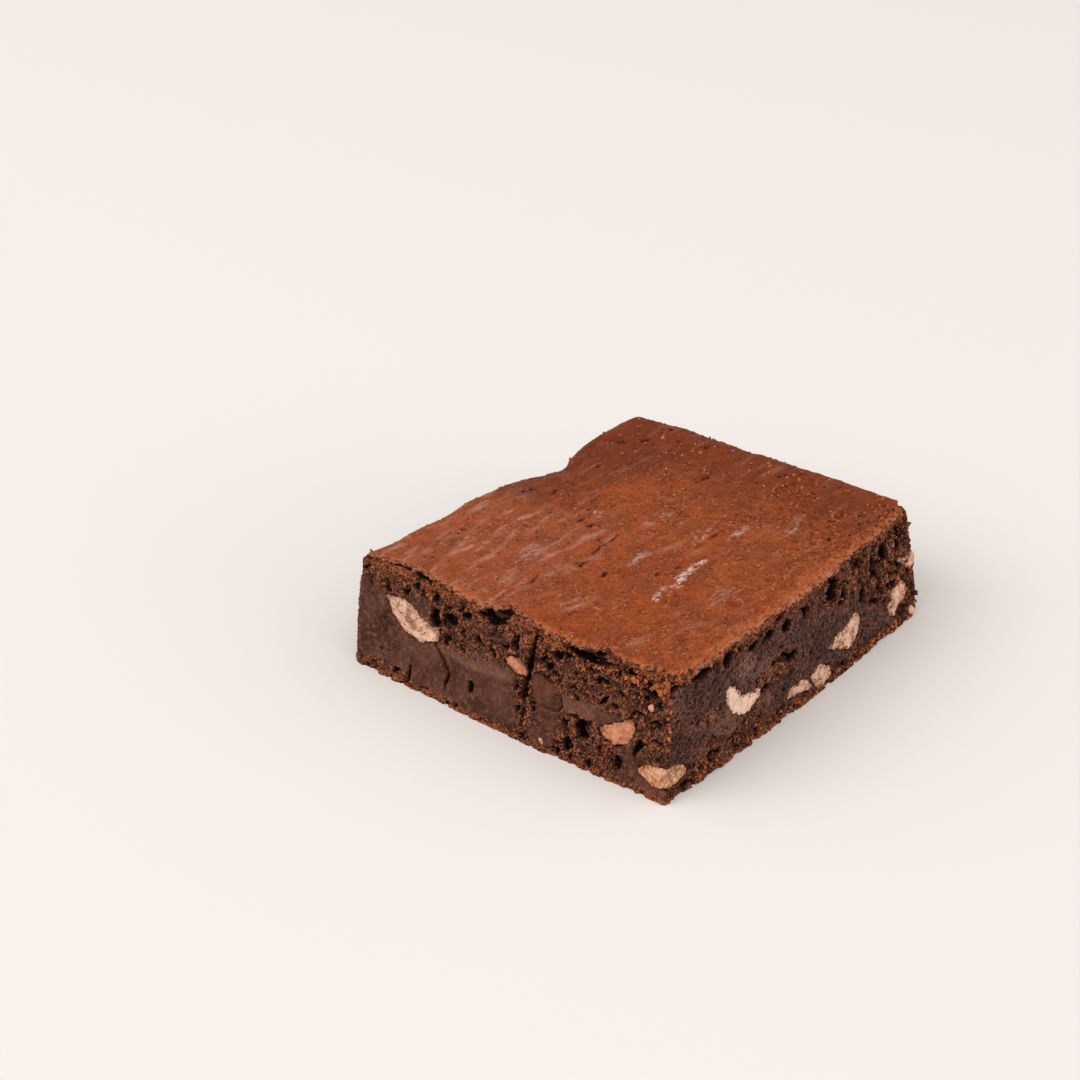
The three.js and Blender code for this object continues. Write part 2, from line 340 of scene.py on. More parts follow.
        s = (x / self.half_length + 1) / 2
        t = (y / self.half_width + 1) / 2
        up = z / self.height
        out_x = lerp(self.foot.blend(0, s, t), self.crust.blend(0, s, t), up)
        out_y = lerp(self.foot.blend(1, s, t), self.crust.blend(1, s, t), up)
        nearness = (1 - 2 * t, 2 * t - 1, 1 - 2 * s, 2 * s - 1)
        south, north, west, east = (np.clip(q, 0, 1) ** 6 for q in nearness)
        bow = np.sin(math.pi * up)
        skirt = self.skirt * (1 - ramp(z, 0, self.skirt_height))
        mid_s, mid_t = 1 - (2 * s - 1) ** 2, 1 - (2 * t - 1) ** 2
        out_y = out_y - south * (
            self.south_belly * mid_s * up + skirt * mid_s + self.wall_wave * self._wave(x, 0.4 + up)
        )
        out_x = out_x - west * (skirt * mid_t + self.wall_wave * self._wave(y, 1.9 + up))
        bite = self.notch_bite * self._notch(x, self.bite_runs) * up
        out_y = out_y + north * (self.tin_wave * self._wave(x, 3.1) + 0.5 * bow - bite)
        out_x = out_x + east * (self.tin_wave * self._wave(y, 4.4) + self.east_belly * bow)
        return np.stack([out_x, out_y, up * self._crust_level(s, t)], -1)

    def around(self, run: Array) -> Pair:
        """The block's outline at a distance walked from the north-west corner down the west wall.

        Args:
            run: millimetres walked, west wall first, then south, east and north.

        Returns:
            The block's u and v there.
        """
        length, width = 2 * self.half_length, 2 * self.half_width
        stops = np.cumsum([0, width, length, width, length])
        run = np.mod(run, stops[-1])
        u = np.interp(run, stops, [-1, -1, 1, 1, -1])
        v = np.interp(run, stops, [1, -1, -1, 1, 1])
        return u, v

    def inset(self, u: Array, v: Array, depth: Array) -> Pair:
        """Draws outline points in towards the middle by a depth in millimetres."""
        return u * (1 - depth / self.half_length), v * (1 - depth / self.half_width)

    @property
    def front_corner(self) -> float:
        """How far the front, south-west corner lies along the walk."""
        return 2 * self.half_width

    @property
    def east_corner(self) -> float:
        """How far the south-east corner lies along the walk."""
        return 2 * self.half_width + 2 * self.half_length

    @property
    def whole_walk(self) -> float:
        """The length of the walk round the slab."""
        return 4 * (self.half_width + self.half_length)


# ---- Meshes ----


class Piece:
    """Gathers the points and faces of one piece in the slab's millimetres, then makes its object."""

    def __init__(self, form: SlabForm) -> None:
        """Starts an empty piece on a slab form."""
        self.form = form
        self.points: list[Array] = []
        self.values: dict[str, list[Array]] = {}
        self.faces: dict[int, list[Array]] = {3: [], 4: []}
        self.map: dict[int, list[Array]] = {3: [], 4: []}
        self.count = 0

    def add(self, points: Array, **values: Array) -> Array:
        """Adds points.

        Args:
            points: places, with any shape before their three coordinates.
            **values: what each point holds for the finish, one number each.

        Returns:
            The new points' numbers, in the same shape.
        """
        shape = points.shape[:-1]
        size = int(np.prod(shape))
        numbers = np.arange(self.count, self.count + size).reshape(shape)
        self.points.append(points.reshape(-1, 3))
        for name in dict.fromkeys([*self.values, *values]):
            past = self.values.setdefault(name, [np.zeros(self.count)] if self.count else [])
            past.append(np.broadcast_to(values.get(name, 0.0), shape).reshape(-1))
        self.count += size
        return numbers

    def grid(self, numbers: Array, box: Box, closed: bool = False) -> None:
        """Joins a grid of points with four-sided faces.

        Args:
            numbers: the points' numbers, by column and row.
            box: left, bottom, right and top of the faces' place on the finish's map.
            closed: whether the last row joins the first.
        """
        columns, rows = numbers.shape
        if closed:
            numbers = np.concatenate([numbers, numbers[:, :1]], 1)
        across = np.linspace(box[0], box[2], columns)
        upwards = np.linspace(box[1], box[3], numbers.shape[1])
        flat = np.stack(np.meshgrid(across, upwards, indexing="ij"), -1)
        corners = ((slice(None, -1), slice(None, -1)), (slice(1, None), slice(None, -1)),
                   (slice(1, None), slice(1, None)), (slice(None, -1), slice(1, None)))
        self.faces[4].append(np.stack([numbers[c].reshape(-1) for c in corners], -1))
        self.map[4].append(np.stack([flat[c].reshape(-1, 2) for c in corners], 1))

    def triangles(self, faces: Array, box: Box) -> None:
        """Adds three-sided faces, mapped from above into a box of the finish's map."""
        plan = np.concatenate(self.points)[faces][..., :2]
        low, high = plan.reshape(-1, 2).min(0), plan.reshape(-1, 2).max(0)
        share = (plan - low) / (high - low)
        self.faces[3].append(faces)
        self.map[3].append(share * (np.array(box[2:]) - box[:2]) + box[:2])

    def fan(self, loop: Array, box: Box, flip: bool = False) -> None:
        """Closes a loop of points with triangles about its middle."""
        every = np.concatenate(self.points)
        middle = self.add(every[loop].mean(0)[None])[0]
        after = np.roll(loop, -1)
        pair = (after, loop) if flip else (loop, after)
        self.triangles(np.stack([np.full(len(loop), middle), *pair], -1), box)

    def cap(
        self,
        loop: Array,
        plan: Array,
        step: float,
        place: Callable[[Array], Array],
        box: Box,
        flip: bool = False,
    ) -> None:
        """Fills a loop with a fresh field of points.

        Args:
            loop: the loop's point numbers, in order round it.
            plan: their undisturbed plan places, which may not cross each other.
            step: how far apart the new points lie.
            place: gives the new points' places from their plan places.
            box: the faces' place on the finish's map.
            flip: whether the faces look down.
        """
        low, high = plan.min(0), plan.max(0)
        lines = [np.arange(low[i] + step, high[i] - 0.5 * step, step) for i in (0, 1)]
        inner = np.stack(np.meshgrid(*lines, indexing="ij"), -1).reshape(-1, 2)
        every = [Vector(p) for p in np.concatenate([plan, inner]).tolist()]
        border = [(i, (i + 1) % len(loop)) for i in range(len(loop))]
        spots, _edges, faces, origins, _e, _f = delaunay_2d_cdt(every, border, [], 1, 1e-6)
        fresh = [i for i, origin in enumerate(origins) if not origin or origin[0] >= len(loop)]
        numbers = np.empty(len(spots), int)
        for i, origin in enumerate(origins):
            if origin and origin[0] < len(loop):
                numbers[i] = loop[origin[0]]
        numbers[fresh] = self.add(place(np.array([spots[i][:] for i in fresh])))
        faces = numbers[np.array(faces)]
        every = np.concatenate(self.points)[:, :2]
        a, b, c = (every[faces[:, i]] for i in range(3))
        turn = (b[:, 0] - a[:, 0]) * (c[:, 1] - a[:, 1]) - (b[:, 1] - a[:, 1]) * (c[:, 0] - a[:, 0])
        if (np.median(turn) < 0) != flip:
            faces = faces[:, ::-1]
        self.triangles(faces, box)

    def build(self, name: str, material: Material, smooth: bool = True) -> bpy.types.Object:
        """Makes the object, held inside the CAD box.

        Args:
            name: the piece's name.
            material: its finish.
            smooth: whether its faces are shaded as one rounded skin.

        Returns:
            The new object, in metres, in the frame.
        """
        points = np.clip(np.concatenate(self.points), self.form.low + CLEARANCE, self.form.high - CLEARANCE)
        points = (points + self.form.shift) * MM
        mesh = bpy.data.meshes.new(name)
        mesh.vertices.add(len(points))
        mesh.vertices.foreach_set("co", points.astype(np.float32).reshape(-1))
        faces = {sides: np.concatenate(parts) for sides, parts in self.faces.items() if parts}
        corners = np.concatenate([part.reshape(-1) for part in faces.values()])
        sides = np.concatenate([np.full(len(part), side) for side, part in faces.items()])
        mesh.loops.add(len(corners))
        mesh.loops.foreach_set("vertex_index", corners.astype(np.int32))
        mesh.polygons.add(len(sides))
        mesh.polygons.foreach_set("loop_start", (np.cumsum(sides) - sides).astype(np.int32))
        mesh.polygons.foreach_set("use_smooth", np.full(len(sides), smooth))
        layer = mesh.uv_layers.new(name="OFBake")
        places = np.concatenate([np.concatenate(self.map[side]).reshape(-1) for side in faces])
        layer.data.foreach_set("uv", places.astype(np.float32))
        for value_name, parts in self.values.items():
            attribute = mesh.attributes.new(value_name, "FLOAT", "POINT")
            attribute.data.foreach_set("value", np.concatenate(parts).astype(np.float32))
        mesh.materials.append(material)
        mesh.update(calc_edges=True)
        mesh.validate()
        piece = bpy.data.objects.new(name, mesh)
        bpy.context.scene.collection.objects.link(piece)
        LOG.info("%s: %d faces", name, len(sides))
        return piece


# ---- Relief of the crumb ----


@dataclass(frozen=True)
class Spot:
    """An oval area of a wall, at a distance along the wall and a height, with its half sizes."""

    side: Side
    run: float
    z: float
    half_run: float
    half_z: float
    strength: float = 1.0
    turn: float = 0.0

    def share(self, run: Array, z: Array, soft: float = 0.3) -> Array:
        """Strength inside the oval, fading to 0 over its soft edge."""
        angle = math.radians(self.turn)
        a, b = run - self.run, z - self.z
        along = (a * math.cos(angle) + b * math.sin(angle)) / self.half_run
        across = (b * math.cos(angle) - a * math.sin(angle)) / self.half_z
        return self.strength * ramp(np.hypot(along, across), 1 + soft, 1 - soft)


@dataclass(frozen=True)
class Crack:
    """A split in a wall along a line of points (distance along the wall, height)."""

    side: Side
    line: Line
    width: float
    depth: float

    def share(self, run: Array, z: Array) -> Array:
        """1 on the line, falling to 0 over the crack's width; it narrows to its two ends.

        Args:
            run: distance of each point along the wall.
            z: height of each point.

        Returns:
            The share at each point.
        """
        nearest = np.full(run.shape, np.inf)
        total = len(self.line) - 1
        for i, ((r0, z0), (r1, z1)) in enumerate(zip(self.line, self.line[1:])):
            dr, dz = r1 - r0, z1 - z0
            t = np.clip(((run - r0) * dr + (z - z0) * dz) / (dr * dr + dz * dz), 0, 1)
            way = (i + t) / total
            width = self.width * (0.35 + 0.65 * np.sin(math.pi * np.clip(way, 0.02, 0.98)))
            gap = np.hypot(run - r0 - t * dr, z - z0 - t * dz) / width
            nearest = np.minimum(nearest, gap)
        return ramp(nearest, 1.0, 0.45)


W, S, E, N = Side.WEST, Side.SOUTH, Side.EAST, Side.NORTH


@dataclass
class CrumbRelief:
    """How the cut and torn crumb stands out from, or sinks into, the slab's smooth form."""

    form: SlabForm
    seed: int = 11
    crumbly: tuple[Spot, ...] = (
        Spot(W, 0, 23.8, 42, 3.0), Spot(W, -20, 19.5, 18, 6.0), Spot(W, 8, 18.5, 13, 5.0, 0.8),
        Spot(W, -20, 5.5, 8, 5.5, 0.9), Spot(W, -4.9, 13, 3, 12, 0.8), Spot(W, -34, 13, 5, 7, 0.55),
        Spot(W, 32, 22.5, 9, 3.2), Spot(W, 31, 1.0, 8, 2.2), Spot(W, 0, 0, 42, 1.6, 0.9),
        Spot(W, 14, 13.4, 6, 1.6, 0.7), Spot(S, 0, 24.0, 52, 2.0, 0.8), Spot(S, -28, 2.4, 14, 3.4),
        Spot(S, 4, 0.3, 48, 1.8, 0.9), Spot(S, -9.5, 12.3, 7.5, 2.8), Spot(S, -33, 12.6, 3.8, 2.0, 0.8),
        Spot(S, -35, 6.8, 4, 1.6, 0.6), Spot(S, 40, 16, 12, 9, 0.85), Spot(S, 20, 20, 16, 4.2, 0.7),
        Spot(S, 45, 3, 6, 3.5, 0.7), Spot(S, -18, 5.2, 6, 2.0, 0.7), Spot(S, -44, 1.2, 4, 1.6),
    )
    holes: tuple[Spot, ...] = (
        Spot(W, 19.5, 17.6, 1.1, 2.0, 2.2), Spot(W, 15.5, 18.8, 1.6, 1.3, 1.8),
        Spot(W, 4.6, 24.2, 2.6, 1.7, 3.4), Spot(W, 7.5, 23.2, 1.2, 0.8, 1.6),
        Spot(W, -11.8, 21.6, 1.0, 0.8, 1.8), Spot(W, -18.2, 24.2, 5.0, 1.1, 3.4),
        Spot(W, -27.5, 24.6, 1.8, 0.9, 2.0), Spot(W, -18.5, 7.8, 1.5, 1.9, 2.4),
        Spot(W, 9.3, 6.2, 0.7, 1.3, 1.8), Spot(W, -27.5, 4.2, 1.0, 1.2, 1.4),
        Spot(W, -31.4, 9.4, 0.7, 2.0, 1.8, 20), Spot(W, 25.3, 2.8, 0.5, 1.8, 1.6),
        Spot(W, -9.8, 18.6, 0.8, 1.0, 1.4), Spot(W, -22.5, 20.5, 1.0, 0.8, 1.4),
        Spot(W, 11.5, 21.3, 0.9, 0.8, 1.4), Spot(W, -15.5, 3.4, 0.9, 1.2, 1.5),
        Spot(W, -33.5, 22.0, 1.2, 0.7, 1.4), Spot(S, -27.0, 23.0, 1.57, 1.8, 3.0),
        Spot(S, -18.4, 21.4, 1.57, 0.96, 2.1), Spot(S, -12.8, 20.9, 2.02, 0.96, 2.1),
        Spot(S, -6.3, 20.4, 1.46, 1.2, 2.3), Spot(S, 0.9, 20.7, 1.23, 1.32, 2.8),
        Spot(S, 12.3, 20.8, 1.9, 2.4, 3.9), Spot(S, 16.9, 17.2, 1.34, 1.56, 3.0),
        Spot(S, 24.8, 19.2, 0.67, 2.28, 2.3), Spot(S, 30.0, 18.4, 1.01, 2.28, 2.3),
        Spot(S, 35.3, 20.2, 1.34, 2.04, 2.5), Spot(S, 42.3, 20.6, 1.57, 2.28, 3.0),
        Spot(S, 26.0, 14.0, 0.9, 2.4, 1.6), Spot(S, 43.0, 14.5, 1.68, 1.2, 1.7),
        Spot(S, -8.0, 13.8, 2.91, 0.66, 2.5, 8), Spot(S, -3.4, 12.5, 1.46, 0.96, 2.3),
        Spot(S, -12.8, 9.4, 2.02, 0.84, 1.8), Spot(S, -35.5, 23.8, 3.81, 0.96, 1.7),
        Spot(S, -44.2, 24.2, 2.02, 0.72, 1.4), Spot(S, -42.6, 1.2, 2.91, 1.08, 1.8),
        Spot(S, 39.0, 10.9, 1.34, 0.84, 1.4), Spot(S, -33.0, 4.4, 1.12, 0.72, 1.4),
    )
    smears: tuple[Spot, ...] = (
        Spot(S, -20.4, 17.6, 3.2, 3.2, 1.0), Spot(S, -13.5, 14.6, 5.5, 2.6, 0.75),
        Spot(S, -28.5, 9.0, 7.5, 2.2, 0.6, -38), Spot(S, -14.5, 6.4, 4.5, 1.6, 0.6),
        Spot(S, -36.5, 6.6, 3, 1.4, 0.7), Spot(S, -34, 12.8, 4, 1.8, 0.7),
        Spot(S, -20, 10, 9, 3.5, 0.35), Spot(W, 8.5, 12.2, 9.5, 1.9, 0.6),
        Spot(W, -17, 12.6, 4.5, 2.6, 0.5), Spot(W, -9.6, 12.9, 4.2, 4.2, 0.3),
    )
    cracks: tuple[Crack, ...] = (
        Crack(W, ((-6.0, 26.0), (-5.5, 21.0), (-4.6, 16.0), (-4.3, 10.0), (-4.6, 3.4)), 0.95, 4.6),
        Crack(W, ((18.9, 12.2), (17.2, 8.8), (15.4, 6.6), (15.9, 3.0)), 0.62, 2.6),
        Crack(W, ((-21.8, 15.0), (-24.4, 17.6)), 0.5, 1.6),
        Crack(W, ((-14.0, 10.0), (-20.5, 9.4)), 0.4, 1.0),
        Crack(S, ((-10.2, 13.6), (-6.4, 13.9), (-3.2, 12.4)), 0.5, 1.8),
    )

    def __post_init__(self) -> None:
        """Draws the noises."""
        self.slow, self.fine, self.grains = (Noise(self.seed + i) for i in range(3))

    @staticmethod
    def _fields(spots: tuple[Spot, ...], side: Array, run: Array, z: Array) -> Array:
        """The strongest spot at each point."""
        total = np.zeros(run.shape)
        for spot in spots:
            here = side == spot.side.number
            total[here] = np.maximum(total[here], spot.share(run[here], z[here]))
        return total

    def _split(self, side: Array, run: Array, z: Array) -> Array:
        """Depth of the deepest crack at each point, in millimetres."""
        split = np.zeros(run.shape)
        for crack in self.cracks:
            here = side == crack.side.number
            split[here] = np.maximum(split[here], crack.depth * crack.share(run[here], z[here]))
        return split

    def _clumps(self, bent: Array) -> Pair:
        """Height of the grains that torn crumb breaks into, and each fine grain's own random value."""
        big_gap, big_own = self.grains.cells(bent, (1.7, 1.7, 1.4))
        small_gap, small_own = self.grains.cells(bent + 9.0, 0.85)
        height = 0.75 * (0.7 - big_gap) * (0.4 + 1.1 * big_own) + 0.24 * (0.65 - small_gap) - 0.1
        return height, small_own

    def _pores(self, bent: Array) -> Array:
        """1 in the small round pores of dense crumb, 0 between them."""
        gap, own = self.fine.cells(bent, (1.1, 1.1, 0.95))
        size = 0.16 + 0.2 * own
        return ramp(gap, size + 0.08, size - 0.06) * ramp(own, 0.3, 0.5)

    def _toast(self, level: Array, west: Array) -> Array:
        """How toasted the crumb is, under the crust and at the foot, at each height."""
        toast = np.where(west, ramp(level, 22.4, 24.2), 0.5 * ramp(level, 23.4, 24.6))
        return np.maximum(toast, 0.6 * ramp(level, 1.9, 0.6))

    def measure(self, points: Array, side: Array) -> dict[str, Array]:
        """Works out the relief and what the finish shows at each point.

        Args:
            points: places on the smooth form.
            side: the number of the wall that each one is on.

        Returns:
            height (millimetres outwards), smear, pit (the share of painted shade), loose, porous and toast (0
            to 1 each).
        """
        west, south, east, _north = (side == wall.number for wall in Side)
        cut = west | south
        along = np.where(west | east, points[:, 1], points[:, 0])
        drift = self.slow.layered(points, 3.0), self.slow.layered(points + 50, 3.0)
        run, z = along + 0.8 * drift[0], points[:, 2] + 0.6 * drift[1]
        patchy = self.slow.layered(points, 9.0)
        loose = np.clip(self._fields(self.crumbly, side, run, z) + 0.45 * patchy - 0.05, 0.0, 1.0)
        loose = np.where(cut, loose, np.clip(0.35 + 0.5 * patchy, 0.1, 0.8))

        # Torn crumb is clumped and hollow; dense crumb is nearly flat, with pores and a few tears.
        bent = points + 0.35 * np.stack([self.fine.smooth(points + 23.0 * k, 0.9) for k in range(3)], -1)
        clumps, own = self._clumps(bent)
        far = south * ramp(points[:, 0], 4.0, 26.0)
        hollow = ramp(self.fine.layered(bent, 2.6) + 0.14 * far, 0.08, 0.5 - 0.1 * far)
        crumb = clumps + 0.3 * self.fine.smooth(points, 2.1) - 2.1 * hollow
        knife = self.fine.smooth(points, (0.7, 0.7, 5.0))
        dense = 0.14 * self.slow.smooth(points, 4.0) + 0.05 * self.fine.smooth(points, 0.9) + 0.05 * knife
        holed = south * lerp(0.55, 1.0, ramp(points[:, 0], -20.0, -32.0))
        pore = self._pores(bent) * np.clip(0.1 + 0.4 * ramp(patchy, -0.2, 0.5) + holed, 0, 1)
        torn = ramp(self.slow.layered(points + 70, 3.4), 0.3, 0.62)
        dense = dense - 0.62 * pore + torn * (0.3 * clumps - 0.25 * hollow)

        deep = self._fields(self.holes, side, run, z)
        split = self._split(side, run, z)
        # How much painted shade darkens pores, hollow grains, holes and cracks.
        pit = 0.6 * pore * (1 - loose) + loose * (0.7 + 0.3 * far) * hollow + deep + 0.6 * split
        porous = np.clip(0.15 + 0.3 * patchy + south * lerp(0.7, 1.0, holed), 0, 1)
        level = points[:, 2] + 0.7 * drift[0] + 0.5 * self.fine.smooth(points, 1.2)
        return {
            "height": lerp(dense, crumb, loose) - deep * (0.8 + 0.3 * own) - split,
            "smear": self._fields(self.smears, side, run, z) * ramp(patchy + drift[0], -0.9, 0.1),
            "pit": np.clip(pit, 0, 1),
            "loose": loose,
            "porous": cut * (1 - loose) * porous,
            "toast": self._toast(level, west) * cut,
        }


# ---- The crumb's two shells ----


def join_trees(nodes: list[str]) -> BVHTree:
    """One search tree of several CAD nodes, in metres.

    Args:
        nodes: their names in the frame.

    Returns:
        The tree of all their faces.
    """
    points: list[Vector] = []
    faces: list[list[int]] = []
    for name in nodes:
        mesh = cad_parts[name].data
        faces += [[len(points) + i for i in face.vertices] for face in mesh.polygons]
        points += [vertex.co.copy() for vertex in mesh.vertices]
    return BVHTree.FromPolygons(points, faces)


def unit(vectors: Array) -> Array:
    """Vectors brought to length 1."""
    return vectors / np.maximum(np.linalg.norm(vectors, axis=-1, keepdims=True), 1e-9)


def grid_normals(points: Array, spread: int = 0) -> Array:
    """The way out of a grid of places, averaged over some columns to each side.

    Args:
        points: the places, by column and row.
        spread: how many columns to average to each side.

    Returns:
        A vector of length 1 at each place.
    """
    across = np.gradient(points, axis=0)
    normal = unit(np.cross(across, np.gradient(points, axis=1)))
    if spread:
        pad = np.pad(normal, ((spread, spread), (0, 0), (0, 0)), mode="edge")
        total = np.cumsum(np.pad(pad, ((1, 0), (0, 0), (0, 0))), axis=0)
        normal = unit(total[2 * spread + 1:] - total[: -2 * spread - 1])
    return normal


def hollowness(height: Array, reach: int) -> Array:
    """How far each point of a grid of heights lies below (+) or above (-) its neighbours' mean.

    Args:
        height: the heights, by column and row.
        reach: how many neighbours count to each side.

    Returns:
        The difference at each point, in the same unit.
    """
    mean = height
    for axis in (0, 1):
        pad = np.pad(mean, [(reach + 1, reach) if i == axis else (0, 0) for i in (0, 1)], mode="edge")
        total = np.cumsum(pad, axis=axis)
        width = 2 * reach + 1
        size = height.shape[axis]
        mean = (np.take(total, range(width, width + size), axis) - np.take(total, range(size), axis)) / width
    return mean - height


@dataclass
class CutFaces:
    """The two knife-cut faces: a shell a few millimetres thick round the west and south walls."""

    form: SlabForm
    relief: CrumbRelief
    chunks: BVHTree
    column: float = 0.25
    past_corner: float = 4.5
    sink: float = 1.2
    top: float = 0.955
    wall_rows: int = 106
    lip: float = 4.5
    lip_rows: int = 16
    thickness: float = 5.0
    worn: Line = (
        (-40.0, 0.7), (-26.0, 0.4), (-22.0, 0.9), (-12.0, 0.7), (-6.0, 0.6), (2.0, 1.5),
        (8.0, 0.6), (12.0, 1.2), (20.0, 1.3), (36.0, 1.1), (40.0, 0.9),
    )
    pocket: float = 0.9
    pocket_gap: tuple[float, float] = (0.12, 0.34)
    skin_box: Box = (0.01, 0.03, 0.99, 0.99)
    end_boxes: tuple[Box, Box] = ((0.01, 0.005, 0.3, 0.025), (0.35, 0.005, 0.65, 0.025))

    def _pockets(self, points: Array) -> Array:
        """1 where a chunk lies in the face, fading to 0 over the gap round it.

        Args:
            points: places on the wall.

        Returns:
            The share at each point.
        """
        reach = self.pocket_gap[1]
        share = np.zeros(len(points))
        for i, place in enumerate(((points + self.form.shift) * MM).tolist()):
            found = self.chunks.find_nearest(place, reach * MM)
            if found[0] is not None:
                share[i] = ramp(found[3] / MM, reach, self.pocket_gap[0])
        return share

    def _profile(self) -> Pair:
        """The shell's section: depth into the slab and height, from the foot and round to it again.

        Returns:
            The depth in millimetres and the height as a share of the slab, at each row.
        """
        up = np.linspace(0, self.top, self.wall_rows)
        over = np.linspace(0, self.lip, self.lip_rows + 1)[1:]
        down = np.linspace(self.top, 0.05, 4)
        under = np.linspace(self.thickness, 0.4, 6)
        depth = np.concatenate([0 * up, over, 0 * down + self.thickness, under])
        foot = np.linspace(0.03, 0.012, 5)
        height = np.concatenate([up, np.full(self.lip_rows, self.top), down, foot, [0.0]])
        return depth, height

    def _wear(self, flat: Array, over: Array, west: Array) -> Array:
        """How far the top edge of the west face has crumbled away, in millimetres.

        Args:
            flat: places on the smooth form, by column and row.
            over: depth of each row beyond the wall's own.
            west: which columns are on the west wall.

        Returns:
            The wear at each point of the shell's skin.
        """
        spots = flat.reshape(-1, 3)
        worn = np.interp(spots[:, 1], *zip(*self.worn)).reshape(flat.shape[:2]) * west[:, None]
        worn = worn * (1 + 0.35 * self.relief.fine.smooth(spots, 1.8).reshape(flat.shape[:2]))
        wear = worn * ramp(flat[..., 2], 21.6, 25.2)
        wear[:, self.wall_rows:] = (worn[:, self.wall_rows:] * np.clip(1 - over / 3.2, 0, 1))
        return wear

    def build(self, material: Material) -> bpy.types.Object:
        """Makes the shell.

        Args:
            material: the finish of the crumb.

        Returns:
            The shell's object.
        """
        form, last = self.form, self.form.east_corner
        run = np.arange(-self.past_corner, last + self.past_corner + self.column / 2, self.column)
        depth, w = self._profile()
        u, v = form.around(run)
        u, v = form.inset(u[:, None], v[:, None], depth[None])
        base = form.place(u, v, np.broadcast_to(w, u.shape))
        skin = self.wall_rows + self.lip_rows
        normal = grid_normals(base[:, :skin], 5)
        normal[:, self.wall_rows + 1:] = (0, 0, 1)
        side = np.where((run > form.front_corner) & (run <= last), S.number, W.number)
        side = np.where(run > last, E.number, np.where(run < 0, N.number, side))
        flat = base[:, :skin].reshape(-1, 3)
        shown = self.relief.measure(flat, np.repeat(side, skin))
        values = {name: value.reshape(len(run), skin) for name, value in shown.items()}
        height = values.pop("height")
        pockets = self._pockets(flat).reshape(height.shape)
        height = lerp(height, np.minimum(0.3 * height, 0) - self.pocket, pockets)
        height = height - self._wear(base[:, :skin], depth[self.wall_rows: skin], side == W.number)
        beyond = np.maximum(-run, run - last)
        height = height - self.sink * ramp(beyond, 1.5, self.past_corner)[:, None]
        height[:, self.wall_rows:] = 0.5 * height[:, self.wall_rows:] - 0.15
        # How far each point lies below its neighbours; the finish paints shade there.
        values["hollow"] = hollowness(height, 5)
        base[:, :skin] += normal * height[..., None]

        piece = Piece(form)
        hidden = {name: np.concatenate([value, np.zeros((len(run), len(w) - skin))], 1)
                  for name, value in values.items()}
        numbers = piece.add(base, **hidden)
        piece.grid(numbers, self.skin_box, closed=True)
        piece.fan(numbers[0], self.end_boxes[0])
        piece.fan(numbers[-1], self.end_boxes[1], flip=True)
        self.outside = base[:, : self.wall_rows]
        self.normals = normal[:, : self.wall_rows]
        self.loose = values["loose"][:, : self.wall_rows] * (1 - pockets[:, : self.wall_rows])
        self.walk = run
        return piece.build("crumb_cut", material)


@dataclass
class TinBody:
    """The rest of the slab: its core, with the two walls that baked against the tin, and its underside."""

    form: SlabForm
    relief: CrumbRelief
    column: float = 0.34
    hidden_column: float = 2.6
    row: float = 0.32
    top: float = 0.955
    inset: float = 2.6
    blend: tuple[float, float] = (0.8, 3.6)
    under_step: float = 1.2
    under_relief: float = 0.35
    wall_box: Box = (0.01, 0.55, 0.99, 0.99)
    top_box: Box = (0.51, 0.01, 0.99, 0.53)
    under_box: Box = (0.01, 0.01, 0.49, 0.53)
    top_step: float = 6.0

    def build(self, material: Material) -> bpy.types.Object:
        """Makes the core.

        Args:
            material: the finish of the crumb.

        Returns:
            The core's object.
        """
        form = self.form
        last, whole = form.east_corner, form.whole_walk
        run = np.concatenate([np.arange(0, last, self.hidden_column), np.arange(last, whole, self.column)])
        up = np.linspace(0, self.top, round(form.height * self.top / self.row) + 1)
        start, end = self.blend
        beyond = np.minimum(run - last, whole - run)
        depth = self.inset * (1 - ramp(beyond, start, end))
        u, v = form.inset(*form.around(run), depth)
        base = form.place(u[:, None], v[:, None], up[None])
        side = np.where(run < last, S.number, np.where(run < last + 2 * form.half_width, E.number, N.number))
        shown = self.relief.measure(base.reshape(-1, 3), np.repeat(side, len(up)))
        values = {name: value.reshape(len(run), len(up)) for name, value in shown.items()}
        height = (0.7 * values.pop("height") - 0.1) * ramp(beyond, start, end)[:, None]
        base += grid_normals(base, 2) * height[..., None]
        # How far each point lies below its neighbours; the finish paints shade there.
        values["hollow"] = 1.5 * hollowness(height, 3)
        piece = Piece(form)
        numbers = piece.add(base, baked=ramp(beyond, 0.6 * end, 1.6 * end)[:, None], **values)
        closed = np.concatenate([numbers, numbers[:1]])
        piece.grid(closed, self.wall_box)
        plan = np.stack([u * form.half_length, v * form.half_width], -1)
        piece.cap(numbers[:, -1], plan, self.top_step, lambda p: self._level(p, self.top), self.top_box)
        piece.cap(numbers[:, 0], plan, self.under_step, self._under, self.under_box, flip=True)
        bared = beyond > end
        self.outside = base[bared].reshape(-1, 3)
        self.normals = grid_normals(base, 2)[bared].reshape(-1, 3)
        return piece.build("crumb_body", material)

    def _level(self, plan: Array, w: float) -> Array:
        """Places of the block at one height."""
        return self.form.place(plan[:, 0] / self.form.half_length, plan[:, 1] / self.form.half_width, w)

    def _under(self, plan: Array) -> Array:
        """Places of the underside, with its shallow dimples.

        Args:
            plan: places from above.

        Returns:
            The points of the underside.
        """
        points = self._level(plan, 0.0)
        dimple = self.relief.fine.layered(points, 5.0)
        form = self.form
        edge = np.minimum(form.half_length - np.abs(plan[:, 0]), form.half_width - np.abs(plan[:, 1]))
        points[:, 2] = self.under_relief * np.clip(dimple, 0, 1) * ramp(edge, 0.0, 4.0)
        return points


# ---- The crust ----


